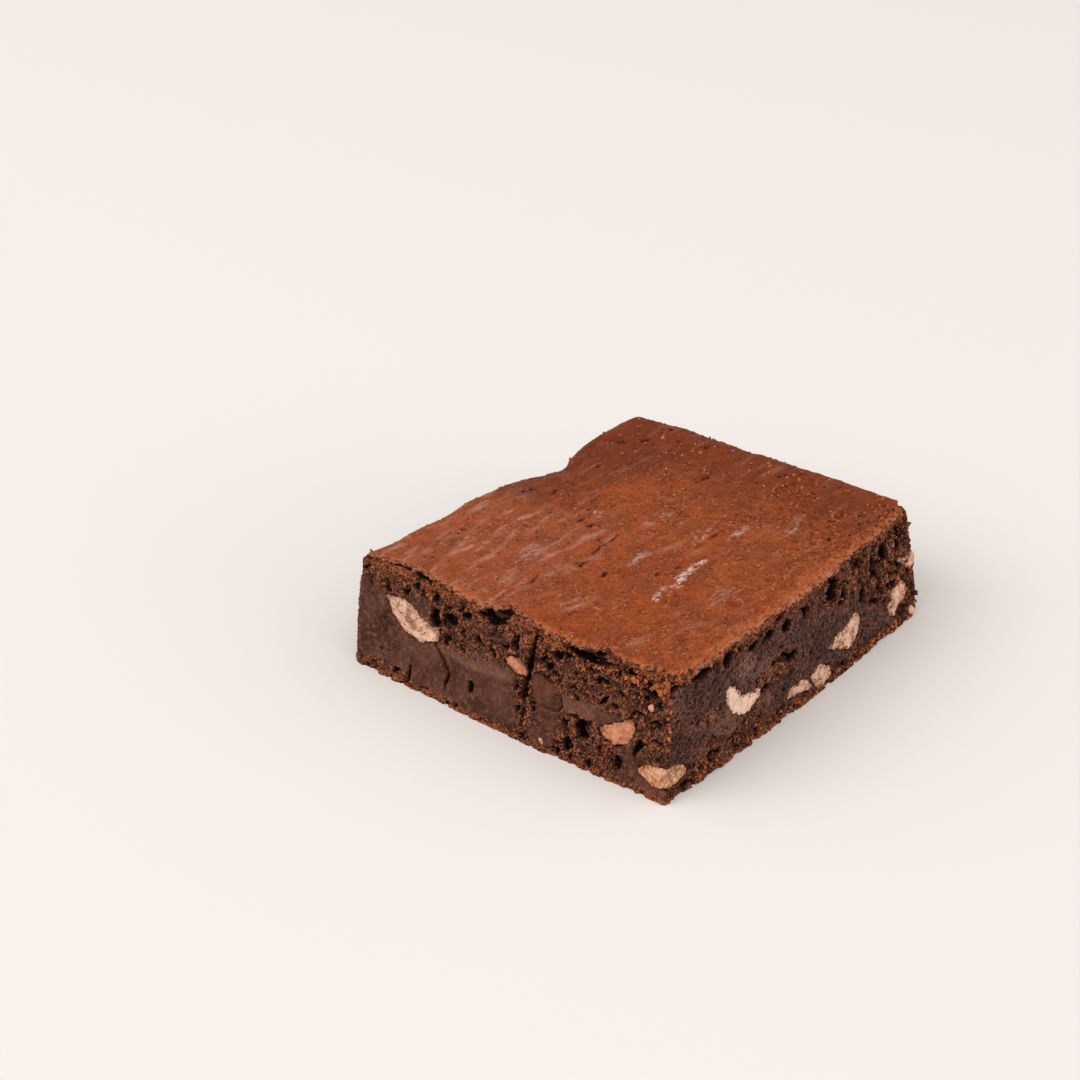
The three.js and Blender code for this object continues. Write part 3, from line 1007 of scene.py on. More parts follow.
@dataclass(frozen=True)
class Swells:
    """The crust's long, short and thin swells at each point, and the plan that they are drawn on."""

    plan: Array
    bend: Array
    long: Array
    short: Array
    thin: Array

    def shaken(self, along: float, across: float) -> Pair:
        """Places in the bent plan, shaken by the short swells in x and by the thin ones in y."""
        return self.bend[:, 0] + along * self.short, self.bend[:, 1] + across * self.thin


@dataclass
class Crust:
    """The thin crust: a sheet over the top that breaks off raggedly at the two cut faces."""

    form: SlabForm
    seed: int = 31
    step: float = 0.3
    band: int = 7
    west_break: Line = (
        (-40.0, 2.0), (-35.7, 2.1), (-31.4, 1.8), (-27.8, 0.5), (-24.3, 1.4), (-20.7, 2.2), (-17.9, 1.2),
        (-16.1, 0.1), (-10.8, 0.3), (-6.0, 1.0), (-1.4, 2.1), (2.6, 3.2), (5.2, 0.9), (9.0, 0.0), (14.5, 0.1),
        (18.0, 1.4), (23.3, 2.6), (30.1, 3.2), (34.6, 2.4), (40.0, 1.6),
    )
    east_break: float = 3.6
    edge_power: int = 14
    south_band: float = 1.7
    west_band: float = 1.5
    baked_band: float = 2.4
    proud: float = 0.22
    dive: float = 0.7
    crack_width: float = 0.34
    crack_depth: float = 0.55
    pucker_turn: float = 17.0
    # The painted sheen: pale is painted where the film falls away along this way, over this range of slope.
    fall_way: tuple[float, float] = (0.79, 0.61)
    fall_span: tuple[float, float] = (-0.015, 0.13)
    cracks: tuple[Line, ...] = (
        ((-35.2, 6.0), (-33.0, 5.6), (-30.2, 5.9)), ((-15.8, 3.2), (-12.0, 3.9), (-8.6, 3.3), (-6.0, 3.8)),
        ((-22.4, 1.4), (-21.0, 2.1), (-19.6, 1.9)), ((-1.8, 31.0), (-0.9, 31.7), (0.2, 31.6)),
    )
    # Ovals of painted highlight: x, y, half sizes and strength; they also raise the specular level and a
    # little relief.
    painted_highlight_ovals: tuple[tuple[float, float, float, float, float], ...] = (
        (-0.7, 12.4, 2.6, 0.9, 0.9), (4.5, -9.8, 3.6, 1.1, 0.6), (12.0, -14.6, 3.4, 1.0, 0.6),
        (-11.4, -6.3, 4.0, 1.6, 0.45), (20.0, -22.0, 6.0, 1.4, 0.3), (-0.8, 31.9, 0.8, 0.45, 0.9),
        (-34.0, -6.0, 5.0, 1.6, 0.25), (39.8, 24.2, 1.2, 0.5, 0.9), (-14.0, -27.0, 4.0, 1.2, 0.3),
        (-24.0, 12.0, 5.0, 1.6, 0.35), (6.0, 2.0, 5.0, 1.4, 0.3),
    )
    # A crisp streak of painted highlight, raised a little.
    ribbon: Line = (
        (-25.0, -18.8), (-20.5, -17.0), (-14.0, -17.4), (-8.0, -16.0), (-3.5, -16.4),
    )
    ribbon_width: float = 1.5
    heaps: tuple[Triple, ...] = (
        (-10.4, -21.2, 2.4), (14.0, -31.0, 7.0), (-6.0, -15.0, 5.0), (26.0, -30.0, 6.0), (8.0, -12.0, 4.0),
        (-20.0, 4.0, 4.0), (2.0, 14.0, 4.0), (-38.0, -20.0, 4.0), (36.0, -14.0, 5.0), (4.0, 27.0, 3.0),
    )
    pits: tuple[tuple[float, float, float, float], ...] = (
        (-5.6, 11.0, 1.3, 0.5), (-0.7, 15.1, 0.9, 0.5), (-5.2, 13.6, 1.1, 0.5), (-20.9, 2.6, 0.8, 0.6),
        (-19.6, 1.7, 0.7, 0.5), (-21.4, -3.7, 1.1, 0.4), (-9.3, -13.1, 1.0, 0.5), (-14.0, -12.5, 0.6, 0.4),
        (17.6, 26.9, 1.1, 0.4), (28.4, 5.2, 1.2, 0.4), (31.2, -12.0, 0.6, 0.4), (40.8, 12.0, 0.8, 0.5),
        (1.2, 25.6, 1.5, 0.4), (-24.5, 31.2, 0.7, 0.4), (-38.2, 27.5, 0.6, 0.4), (22.0, -31.0, 0.9, 0.5),
        (6.8, -12.2, 1.4, 0.4), (31.0, 30.0, 1.4, 0.6), (36.0, 27.4, 1.6, 0.7), (-3.0, 32.0, 0.9, 0.4),
    )
    scabs: tuple[tuple[float, float, float, float, float], ...] = (
        (8.5, -12.0, 5.0, 3.6, 0.35), (24.6, 7.4, 3.4, 1.8, 0.4), (34.5, 28.5, 4.0, 2.4, -0.25),
        (3.3, 26.7, 2.6, 0.9, 0.35), (12.0, 34.0, 3.0, 1.5, 0.3), (30.0, 33.0, 6.0, 1.8, -0.4),
        (16.0, -24.0, 3.2, 1.0, 0.3), (20.0, 12.0, 2.2, 1.0, 0.3), (-1.0, 31.4, 0.9, 0.6, -0.5),
        (28.5, -36.6, 4.6, 1.3, 0.45), (-36.0, -34.0, 5.0, 2.0, 0.15), (-22.0, -17.5, 6.0, 1.2, 0.16),
        (-1.3, 12.2, 2.4, 1.4, 0.25), (-30.0, 22.0, 7.0, 3.0, 0.12),
    )
    under_level: float = 0.945
    under_step: float = 5.0
    sheet_box: Box = (0.01, 0.13, 0.99, 0.99)
    skirt_box: Box = (0.01, 0.01, 0.99, 0.11)
    under_box: Box = (0.3, 0.112, 0.4, 0.128)

    def __post_init__(self) -> None:
        """Draws the noises."""
        self.slow, self.fine, self.flakes = (Noise(self.seed + i) for i in range(3))

    @staticmethod
    def _oval(x: float, y: float, half_x: float, half_y: float, strength: float = 1.0) -> Spot:
        """An oval area of the crust seen from above; it lies on no wall."""
        return Spot(W, x, y, half_x, half_y, strength)

    def _setback(self, points: Array) -> Array:
        """How far the crust's west edge has broken back from the face, at each row of the sheet."""
        y, size = zip(*self.west_break)
        along = points * (0, 1, 0)
        ragged = 0.45 * self.fine.smooth(along, 1.9) + 0.4 * self.fine.smooth(along, 0.8)
        return np.interp(points[:, 1], y, size) + ragged

    def _swells(self, points: Array) -> Swells:
        """The swells that all of the crust's relief hangs on.

        Args:
            points: places on the smooth sheet.

        Returns:
            The swells at each place.
        """
        plan = points * (1, 1, 0)
        sway_x, sway_y = 0.9 * self.slow.smooth(plan, 9.0), 1.3 * self.slow.smooth(plan + 40, 11.0)
        bend = plan + np.stack([sway_x, sway_y, np.zeros(len(plan))], -1)
        return Swells(
            plan=plan,
            bend=bend,
            long=self.slow.smooth(bend, (11.0, 2.6, 5.0)),
            short=self.fine.smooth(bend, (4.4, 1.15, 5.0)),
            thin=self.fine.smooth(bend + 7, (2.4, 0.55, 5.0)),
        )

    def _film(self, swells: Swells) -> Pair:
        """Height of the soft wrinkles, and where they pucker most, towards the north-west.

        Args:
            swells: the crust's swells.

        Returns:
            The height in millimetres, and the share of puckering.
        """
        plan, bend = swells.plan, swells.bend
        film = 0.13 * swells.long + 0.035 * swells.short + 0.14 * self.slow.smooth(plan + 20, 7.5)
        turn = math.radians(self.pucker_turn)
        across = np.stack([
            bend[:, 0] * math.cos(turn) + bend[:, 1] * math.sin(turn),
            bend[:, 1] * math.cos(turn) - bend[:, 0] * math.sin(turn),
            plan[:, 2],
        ], -1)
        puckered = ramp(plan[:, 0], 6.0, -14.0) * ramp(plan[:, 1], -6.0, 8.0)
        pucker = self.slow.smooth(across + 13, (8.0, 2.6, 5.0))
        return film + (0.05 + 0.34 * puckered) * pucker, puckered

    def _broken(self, swells: Swells) -> Pair:
        """Height of the dots, pits, cracks and scabs, and how much painted shade darkens the deep ones.

        Args:
            swells: the crust's swells.

        Returns:
            The height in millimetres, and the share of painted shade.
        """
        dot_gap, dot_own = self.fine.cells(swells.plan + 5, (1.6, 1.3, 9.0))
        dots = ramp(dot_own, 0.88, 0.93) * ramp(dot_gap, 0.26, 0.12)
        height = -0.3 * dots
        for pit in self.pits:
            spot = self._oval(*pit)
            deep = spot.share(*swells.shaken(0.5, 0.5), 0.35)
            height = height + 0.2 * spot.share(*swells.shaken(0.0, 0.0), 0.9) - 0.75 * deep
            dots = np.maximum(dots, deep)
        split = np.zeros(len(dots))
        for line in self.cracks:
            crack = Crack(W, line, self.crack_width, self.crack_depth)
            split = np.maximum(split, crack.share(swells.plan[:, 0], swells.plan[:, 1]))
        height = height - self.crack_depth * split
        for *oval, rise in self.scabs:
            height = height + rise * self._oval(*oval).share(*swells.shaken(0.5, 0.4), 0.1)
        return height, np.clip(split + 0.9 * dots, 0, 1)

    def _glossy(self, swells: Swells) -> Pair:
        """Height of the glossy patches and of the ribbon among them, and how strongly they are glossy and
        carry the painted highlight.

        Args:
            swells: the crust's swells.

        Returns:
            The height in millimetres, and the share of gloss and painted highlight.
        """
        shine = np.zeros(len(swells.plan))
        for oval in self.painted_highlight_ovals:
            shine = np.maximum(shine, self._oval(*oval).share(*swells.shaken(0.8, 0.6), 0.5))
        ruffle = swells.short + swells.thin + 0.8 * self.fine.smooth(swells.plan + 8, 0.9)
        shine = shine * ramp(ruffle, -0.3, 0.7)
        ribbon = Crack(W, self.ribbon, self.ribbon_width, 1.0).share(
            swells.bend[:, 0] + 0.5 * swells.short, swells.plan[:, 1] + 0.9 * swells.thin)
        ruffle = swells.thin + self.fine.smooth(swells.plan + 8, 1.3)
        shine = np.maximum(shine, ribbon * ramp(ruffle, -0.35, 0.25))
        height = 0.12 * shine * (swells.long + 0.6 * swells.short) + 0.2 * ribbon * (0.7 + 0.5 * swells.thin)
        return height, shine

    def _relief(self, points: Array) -> dict[str, Array]:
        """Works out the crust's own relief and what its finish shows.

        Args:
            points: places on the smooth sheet.

        Returns:
            height and film (millimetres), patch (about -1 to 1), and puckered, shine, flake and pit
            (0 to 1 each).
        """
        swells = self._swells(points)
        plan = swells.plan
        film, puckered = self._film(swells)
        patchy = self.slow.layered(plan + 90, 12.0)
        island = self.flakes.smooth(swells.bend, (1.7, 1.0, 9.0)) + 0.55 * self.fine.smooth(plan + 3, 0.75)
        flake = ramp(island, 0.42, 0.58) * ramp(patchy, -0.7, 0.3)
        height = film + 0.02 * swells.thin + 0.17 * flake - 0.16 * ramp(island, -0.5, -0.7)
        bubble, size = self.flakes.cells(plan + 60, (1.9, 1.7, 9.0))
        height = height + 0.10 * ramp(size, 0.3, 0.9) * ramp(bubble, 0.42, 0.1)
        height = height + 0.05 * self.fine.smooth(plan, 1.0)
        broken, pit = self._broken(swells)
        glossy, shine = self._glossy(swells)
        return {
            "height": height + broken + glossy,
            "film": film,
            "puckered": puckered,
            "patch": patchy,
            "shine": shine,
            "flake": flake,
            "pit": pit,
        }

    def _broken_plan(self, u: Array, v: Array) -> Pair:
        """Draws the sheet's two cut edges back to where they broke off.

        Args:
            u: place from west to east, -1 to 1.
            v: place from south to north, -1 to 1.

        Returns:
            The drawn u and v.
        """
        form = self.form
        flat = form.place(u, v, np.ones_like(u)).reshape(-1, 3)
        back = np.clip(self._setback(flat).reshape(u.shape), 0, 9)
        along = flat * (1, 0, 0)
        nick = self.fine.smooth(along, 1.7) + 0.7 * self.fine.smooth(along, 0.8)
        nick = np.clip(0.4 * nick, -0.1, 1).reshape(u.shape) + self.east_break * ramp(u, 0.86, 1.0)
        near_west, near_south = (np.clip(-share, 0, 1) ** self.edge_power for share in (u, v))
        return u + back / form.half_length * near_west, v + nick / form.half_width * near_south

    def _sheen(self, shown: dict[str, Array]) -> Array:
        """The painted sheen: how pale the film is painted, most where a wrinkle falls away towards the
        sheen's side.

        Args:
            shown: what the relief shows; film and puckered are taken out of it.

        Returns:
            The share of painted sheen at each point.
        """
        rise = np.gradient(shown.pop("film"), self.step)
        fall = -(self.fall_way[0] * rise[0] + self.fall_way[1] * rise[1])
        puckered = shown.pop("puckered")
        share = np.maximum(0.75 * ramp(shown["patch"], -0.5, 0.6), puckered)
        return ramp(fall, *self.fall_span) * share + 0.12 * puckered

    def _hang(self, walk: Array, west: Array, cut: Array) -> Array:
        """How far the crust reaches down the walls, at each point of its border.

        Args:
            walk: places of the border.
            west: which of them are on the west wall.
            cut: which of them are on a cut wall.

        Returns:
            The reach in millimetres.
        """
        hang = np.where(cut, np.where(west, self.west_band, self.south_band), self.baked_band)
        hang = self._smooth_loop(hang, 5)
        return hang * (1 + 0.3 * self.fine.smooth(walk * (1, 1, 0), 3.2) + 0.45 * self.fine.smooth(walk, 0.9))

    def build(self, material: Material) -> bpy.types.Object:
        """Makes the sheet, its edge and its hidden underside.

        Args:
            material: the finish of the crust.

        Returns:
            The crust's object.
        """
        form = self.form
        columns, rows = (round(2 * half / self.step) for half in (form.half_length, form.half_width))
        u, v = np.meshgrid(np.linspace(-1, 1, columns + 1), np.linspace(-1, 1, rows + 1), indexing="ij")
        u_sheet, v_sheet = self._broken_plan(u, v)
        sheet = form.place(u_sheet, v_sheet, np.ones_like(u))
        shown = self._relief(sheet.reshape(-1, 3))
        values = {name: value.reshape(u.shape) for name, value in shown.items()}
        height = values.pop("height")
        values["sheen"] = self._sheen(values)
        normal = grid_normals(sheet)

        picked = tuple(self._border(columns, rows).T)
        west = u[picked] < -EDGE
        cut = west | ((v[picked] < -EDGE) & (u[picked] < 0.93))
        hang = self._hang(sheet[picked], west, cut)
        lift = 1 - ramp(np.maximum(np.abs(u), np.abs(v)), 0.985, 1.0)
        sheet = sheet + normal * (height * (0.35 + 0.65 * lift) + self.proud * 0.4)[..., None]
        edge_x = form.half_length * (1 - np.abs(u_sheet)) + 9 * (u > 0)
        edge_y = form.half_width * (1 - np.abs(v_sheet)) + 9 * (v > 0)
        rim = 1 - ramp(np.minimum(edge_x, edge_y), 0.2, 2.6)
        spread = sheet.reshape(-1, 3)
        grains = self.fine.smooth(spread, 0.8) + 0.6 * self.flakes.smooth(spread, 1.7)
        sheet = sheet + normal * (0.16 * rim * grains.reshape(u.shape))[..., None]
        x, y = sheet[..., 0], sheet[..., 1]
        # Darker towards the north and east: partly the baked colour there, partly painted shade.
        bake_and_shade = 0.8 * ramp(y, 8.0, 34.0) * ramp(x, -24.0, 4.0) + 0.75 * ramp(x, 8.0, 42.0)
        values["bake_and_shade"] = np.clip(bake_and_shade + 0.25 * values.pop("patch"), 0, 1)
        piece = Piece(form)
        numbers = piece.add(sheet, rim=rim, side=0 * u, **values)
        piece.grid(numbers, self.sheet_box)

        # The skirt hangs from the sheet's border down the walls, and tucks in at its foot.
        steps = np.linspace(0, 1, self.band + 1)[1:]
        drawn = form.inset(u_sheet[picked], v_sheet[picked], -self.proud)
        ring_u, ring_v = (np.repeat(share[:, None], self.band, 1) for share in drawn)
        skirt = form.place(ring_u, ring_v, 1 - hang[:, None] / form.height * steps[None])
        outward = unit(np.stack([
            u_sheet[picked] * (np.abs(u[picked]) > EDGE),
            v_sheet[picked] * (np.abs(v[picked]) > EDGE),
            np.zeros(len(west)),
        ], -1))[:, None]
        hung = skirt.reshape(-1, 3)
        crumby = self.fine.smooth(hung, (1.3, 1.3, 0.7)) + 0.8 * self.flakes.smooth(hung, 0.6)
        wobble = np.where(cut, 0.42, 0.2)[:, None] * crumby.reshape(skirt.shape[:2]) - 0.1
        tuck = self.dive * ramp(steps, 0.8, 1.0)[None]
        skirt = skirt + outward * (wobble - tuck)[..., None]
        edge_values = {
            name: np.repeat(value[picked][:, None], self.band, 1) for name, value in values.items()
        }
        edge_values["bake_and_shade"] = np.maximum(edge_values["bake_and_shade"], ~cut[:, None] * ramp(steps, 0.0, 0.6))
        fresh = piece.add(skirt, rim=np.ones(skirt.shape[:2]), side=cut[:, None] * steps, **edge_values)
        bands = np.concatenate([numbers[picked][:, None], fresh], 1)
        bands = np.concatenate([bands, bands[:1]])
        piece.grid(bands[:, ::-1], self.skirt_box)
        plan = np.stack([u[picked] * form.half_length, v[picked] * form.half_width], -1)
        piece.cap(fresh[:, -1], plan, self.under_step, self._under, self.under_box, flip=True)

        self.surface = sheet
        shown_skirt = skirt[:, : self.band - 1]
        ways = np.broadcast_to(outward, shown_skirt.shape)
        self.border = (shown_skirt.reshape(-1, 3), ways.reshape(-1, 3))
        self.border_cut = np.repeat(cut, self.band - 1)
        return piece.build("crust", material)

    def _under(self, plan: Array) -> Array:
        """Places of the crust's hidden underside."""
        u, v = plan[:, 0] / self.form.half_length, plan[:, 1] / self.form.half_width
        return self.form.place(u, v, self.under_level)

    @staticmethod
    def _border(columns: int, rows: int) -> Array:
        """Column and row of every border point of a sheet, walked west, south, east, then north."""
        west = [(0, j) for j in range(rows, 0, -1)]
        south = [(i, 0) for i in range(columns)]
        east = [(columns, j) for j in range(rows)]
        north = [(i, rows) for i in range(columns, 0, -1)]
        return np.array(west + south + east + north)

    @staticmethod
    def _smooth_loop(values: Array, reach: int) -> Array:
        """A running mean round a loop."""
        return sum(np.roll(values, k) for k in range(-reach, reach + 1)) / (2 * reach + 1)


# ---- Chocolate chunks ----


def read_vectors(items: bpy.types.bpy_prop_collection, name: str) -> Array:
    """One vector of each item of a mesh, in one array."""
    flat = np.empty(len(items) * 3, np.float32)
    items.foreach_get(name, flat)
    return flat.reshape(-1, 3).astype(float)


@dataclass(frozen=True)
class Chunk:
    """One piece of chocolate bared by the knife, made from its CAD solid."""

    node: str
    side: Side
    slot: str
    ragged: float = 0.3
    crumble: float = 0.12
    plate: float = 0.0
    smudges: tuple[Spot, ...] = ()
    fineness: float = 0.2

    def build(self, form: SlabForm, material: Material) -> tuple[bpy.types.Object, Pair]:
        """Makes the chunk.

        Args:
            form: the slab it lies in.
            material: its finish.

        Returns:
            The new object, standing for the CAD node, and places round the edge of its bared face
            with the way out of the face there.
        """
        mesh = self._fine_mesh()
        points = read_vectors(mesh.vertices, "co") / MM - form.shift
        axis = 0 if self.side is Side.WEST else 1
        outward = np.zeros(3)
        outward[axis] = -1
        facing = ramp(read_vectors(mesh.vertices, "normal") @ outward, 0.35, 0.8)

        seed = sum(map(ord, self.node))
        noise, fine = Noise(seed), Noise(seed + 1)
        warp = np.stack([noise.smooth(points + 31 * k, 2.2) + 0.8 * fine.smooth(points + 31 * k, 0.9)
                         for k in range(3)], -1)
        warp[:, axis] = 0
        spread = points - points.mean(0)
        spread[:, axis] = 0
        reach = np.linalg.norm(spread, axis=1)
        moved = points + 1.6 * self.ragged * warp * ramp(reach, 0.3, 1.6)[:, None]
        gap, own = fine.cells(points, 1.1)
        grit = 0.5 - gap + 0.5 * (own - 0.5)
        ribs = fine.smooth(points, (0.8, 0.8, 2.6) if self.plate else 1.6)
        swell = 0.22 * noise.smooth(points, 3.6) + 0.05 * fine.smooth(points, 0.9)
        height = swell + self.crumble * grit + 1.6 * self.plate * ribs - 0.15
        moved = moved + outward * (facing * height)[:, None]
        moved = np.clip(moved, form.low + CLEARANCE, form.high - CLEARANCE)
        mesh.vertices.foreach_set("co", ((moved + form.shift) * MM).astype(np.float32).reshape(-1))

        rim_gap = self._rim_gap(points, facing)
        edge = ramp(rim_gap + 0.4 * fine.smooth(points, 0.8), 0.85, 0.1)
        near = np.flatnonzero((facing > 0.6) & (rim_gap < 0.8))
        rim = (moved[near], np.broadcast_to(outward, (len(near), 3)))
        run, z = points[:, 1 - axis] + 0.5 * warp[:, 1 - axis], points[:, 2] + 0.5 * warp[:, 2]
        smudge = np.zeros(len(points))
        for spot in self.smudges:
            smudge = np.maximum(smudge, spot.share(run, z, 0.4))
        for name, value in (("edge", edge), ("grit", np.clip(0.5 + grit, 0, 1)), ("smudge", smudge)):
            mesh.attributes.new(name, "FLOAT", "POINT").data.foreach_set("value", value.astype(np.float32))
        mesh.materials.clear()
        mesh.materials.append(material)
        mesh.update()
        piece = bpy.data.objects.new(self.node.replace("chunk", "chocolate"), mesh)
        bpy.context.scene.collection.objects.link(piece)
        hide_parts(self.node)
        LOG.info("%s: %d faces", piece.name, len(mesh.polygons))
        return piece, rim

    def _fine_mesh(self) -> bpy.types.Mesh:
        """The CAD solid's shape again, in small even faces.

        Returns:
            The fine mesh.
        """
        blank = bpy.data.objects.new("blank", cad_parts[self.node].data.copy())
        bpy.context.scene.collection.objects.link(blank)
        remesh = blank.modifiers.new("fine", "REMESH")
        remesh.mode = "VOXEL"
        remesh.voxel_size = self.fineness * MM
        graph = bpy.context.evaluated_depsgraph_get()
        mesh = bpy.data.meshes.new_from_object(blank.evaluated_get(graph))
        bpy.data.objects.remove(blank)
        mesh.polygons.foreach_set("use_smooth", np.ones(len(mesh.polygons), bool))
        return mesh

    @staticmethod
    def _rim_gap(points: Array, facing: Array) -> Array:
        """How far each point of the bared face lies from the face's rim.

        Args:
            points: places of the whole chunk.
            facing: how squarely each faces out of the wall.

        Returns:
            The distance in millimetres, 0 away from the face.
        """
        tree = KDTree(len(points))
        for i in np.flatnonzero(facing < 0.2):
            tree.insert(points[i], int(i))
        tree.balance()
        return np.array([
            tree.find(place)[2] if share > 0.2 else 0.0 for place, share in zip(points, facing)
        ])


# ---- Loose crumbs ----


@dataclass
class Crumbs:
    """One kind of crumb: many small lumps stuck to the faces, in one piece."""

    form: SlabForm
    name: str
    seed: int
    sizes: tuple[float, float]
    squash: float = 0.7
    sink: float = 0.25
    detail: int = 1

    def _lump(self) -> Pair:
        """Points and triangles of a ball of radius 1."""
        ball = bmesh.new()
        bmesh.ops.create_icosphere(ball, subdivisions=self.detail + 1, radius=1.0)
        points = np.array([vertex.co[:] for vertex in ball.verts])
        faces = np.array([[vertex.index for vertex in face.verts] for face in ball.faces])
        ball.free()
        return points, faces

    def build(self, places: Array, normals: Array, material: Material) -> bpy.types.Object:
        """Makes the crumbs.

        Args:
            places: where each one lies, in the slab's millimetres.
            normals: the way out of the face there.
            material: their finish.

        Returns:
            The new object.
        """
        rng = np.random.default_rng(self.seed)
        noise = Noise(self.seed)
        ball, faces = self._lump()
        count = len(places)
        low, high = self.sizes
        radius = 0.5 * low * (high / low) ** (rng.random(count) ** 2.2)
        axes = rng.uniform(0.55, 1.25, (count, 3)) * (1, 1, self.squash)
        turns = np.linalg.qr(rng.normal(size=(count, 3, 3)))[0]
        offset = rng.uniform(0, 90, (count, 1, 3))
        shape = (ball[None] * 1.1 + offset).reshape(-1, 3)
        bumps = noise.smooth(shape, 0.9) + 0.8 * noise.smooth(shape, 0.5)
        lumps = ball[None] * (1 + 0.5 * bumps.reshape(count, -1, 1)) * axes[:, None]
        lumps = np.einsum("nij,nkj->nki", turns, lumps) * radius[:, None, None]
        centre = places + normals * (radius * (0.5 - self.sink))[:, None]
        points = centre[:, None] + lumps
        lowest = points[..., 2].min(1)
        points[..., 2] += np.maximum(0.02 - lowest, 0)[:, None]
        piece = Piece(self.form)
        shade = np.broadcast_to(rng.random(count)[:, None], points.shape[:2])
        numbers = piece.add(points, shade=shade)
        tile = math.ceil(math.sqrt(count))
        corner = np.stack([np.arange(count) % tile, np.arange(count) // tile], -1) / tile
        spot = (ball[faces][..., :2] + 1) / 2
        spot[..., 0] = 0.5 * spot[..., 0] + 0.5 * (ball[faces][..., 2].mean(-1, keepdims=True) < 0)
        spots = corner[:, None, None] + (0.05 + 0.9 * spot[None]) / tile
        piece.faces[3].append(numbers[:, faces].reshape(-1, 3))
        piece.map[3].append(spots.reshape(-1, 3, 2))
        return piece.build(self.name, material, smooth=False)


# ---- Finishes ----


class Shader:
    """A material's nodes, added and joined by short calls."""

    def __init__(self, name: str) -> None:
        """Starts a material with one plain surface."""
        self.material = bpy.data.materials.new(name)
        self.material.use_nodes = True
        self.tree = self.material.node_tree
        self.surface = next(node for node in self.tree.nodes if node.type == "BSDF_PRINCIPLED")
        place = self.tree.nodes.new("ShaderNodeTexCoord")
        scale = self.tree.nodes.new("ShaderNodeVectorMath")
        scale.operation = "SCALE"
        scale.inputs["Scale"].default_value = 1 / MM
        self.tree.links.new(place.outputs["Object"], scale.inputs[0])
        self.place = scale.outputs[0]

    def _join(self, value: object, socket: Socket) -> None:
        """Links a socket to another, or sets its constant."""
        if isinstance(value, Socket):
            self.tree.links.new(value, socket)
        elif isinstance(value, tuple) and socket.type == "RGBA":
            socket.default_value = (*value, 1.0)
        else:
            socket.default_value = value

    def set(self, **sockets: object) -> None:
        """Sets or links the surface's sockets, named with _ for each space."""
        for name, value in sockets.items():
            self._join(value, self.surface.inputs[name.replace("_", " ")])

    def value(self, name: str) -> Socket:
        """A number held by the mesh's points."""
        node = self.tree.nodes.new("ShaderNodeAttribute")
        node.attribute_name = name
        return node.outputs["Fac"]

    def noise(self, size: float, detail: float = 3.0, stretch: Colour = (1, 1, 1)) -> Socket:
        """Noise with swells of a size in millimetres, drawn out along the axes of a stretch."""
        bend = self.tree.nodes.new("ShaderNodeVectorMath")
        bend.operation = "MULTIPLY"
        bend.inputs[1].default_value = tuple(1 / s for s in stretch)
        self.tree.links.new(self.place, bend.inputs[0])
        node = self.tree.nodes.new("ShaderNodeTexNoise")
        node.inputs["Scale"].default_value = 1 / size
        node.inputs["Detail"].default_value = detail
        node.inputs["Roughness"].default_value = 0.55
        self.tree.links.new(bend.outputs[0], node.inputs["Vector"])
        return node.outputs["Fac"]

    def spots(self, size: float) -> Socket:
        """Distance to scattered spots, in cell widths."""
        node = self.tree.nodes.new("ShaderNodeTexVoronoi")
        node.inputs["Scale"].default_value = 1 / size
        self.tree.links.new(self.place, node.inputs["Vector"])
        return node.outputs["Distance"]

    def span(self, value: object, start: float, end: float, low: float = 0.0, high: float = 1.0) -> Socket:
        """A value brought from one range to another and held in it."""
        node = self.tree.nodes.new("ShaderNodeMapRange")
        node.interpolation_type = "SMOOTHSTEP"
        for name, amount in (("From Min", start), ("From Max", end), ("To Min", low), ("To Max", high)):
            node.inputs[name].default_value = amount
        self._join(value, node.inputs["Value"])
        return node.outputs["Result"]

    def maths(self, operation: str, a: object, b: object = 0.0) -> Socket:
        """One sum of two values."""
        node = self.tree.nodes.new("ShaderNodeMath")
        node.operation = operation
        self._join(a, node.inputs[0])
        self._join(b, node.inputs[1])
        return node.outputs[0]

    def plus(self, a: object, b: object) -> Socket:
        """a + b."""
        return self.maths("ADD", a, b)

    def less(self, a: object, b: object) -> Socket:
        """a - b."""
        return self.maths("SUBTRACT", a, b)

    def times(self, a: object, b: object) -> Socket:
        """a x b."""
        return self.maths("MULTIPLY", a, b)

    def most(self, a: object, b: object) -> Socket:
        """The greater of a and b."""
        return self.maths("MAXIMUM", a, b)

    def mix(self, share: object, a: object, b: object) -> Socket:
        """A colour a share of the way from a to b."""
        node = self.tree.nodes.new("ShaderNodeMix")
        node.data_type = "RGBA"
        self._join(share, node.inputs[0])
        self._join(a, node.inputs[6])
        self._join(b, node.inputs[7])
        return node.outputs[2]

    def bump(self, height: Socket, depth: float) -> None:
        """Gives the surface fine relief of a depth in millimetres."""
        node = self.tree.nodes.new("ShaderNodeBump")
        node.inputs["Distance"].default_value = depth * MM
        self.tree.links.new(height, node.inputs["Height"])
        self.set(Normal=node.outputs["Normal"])


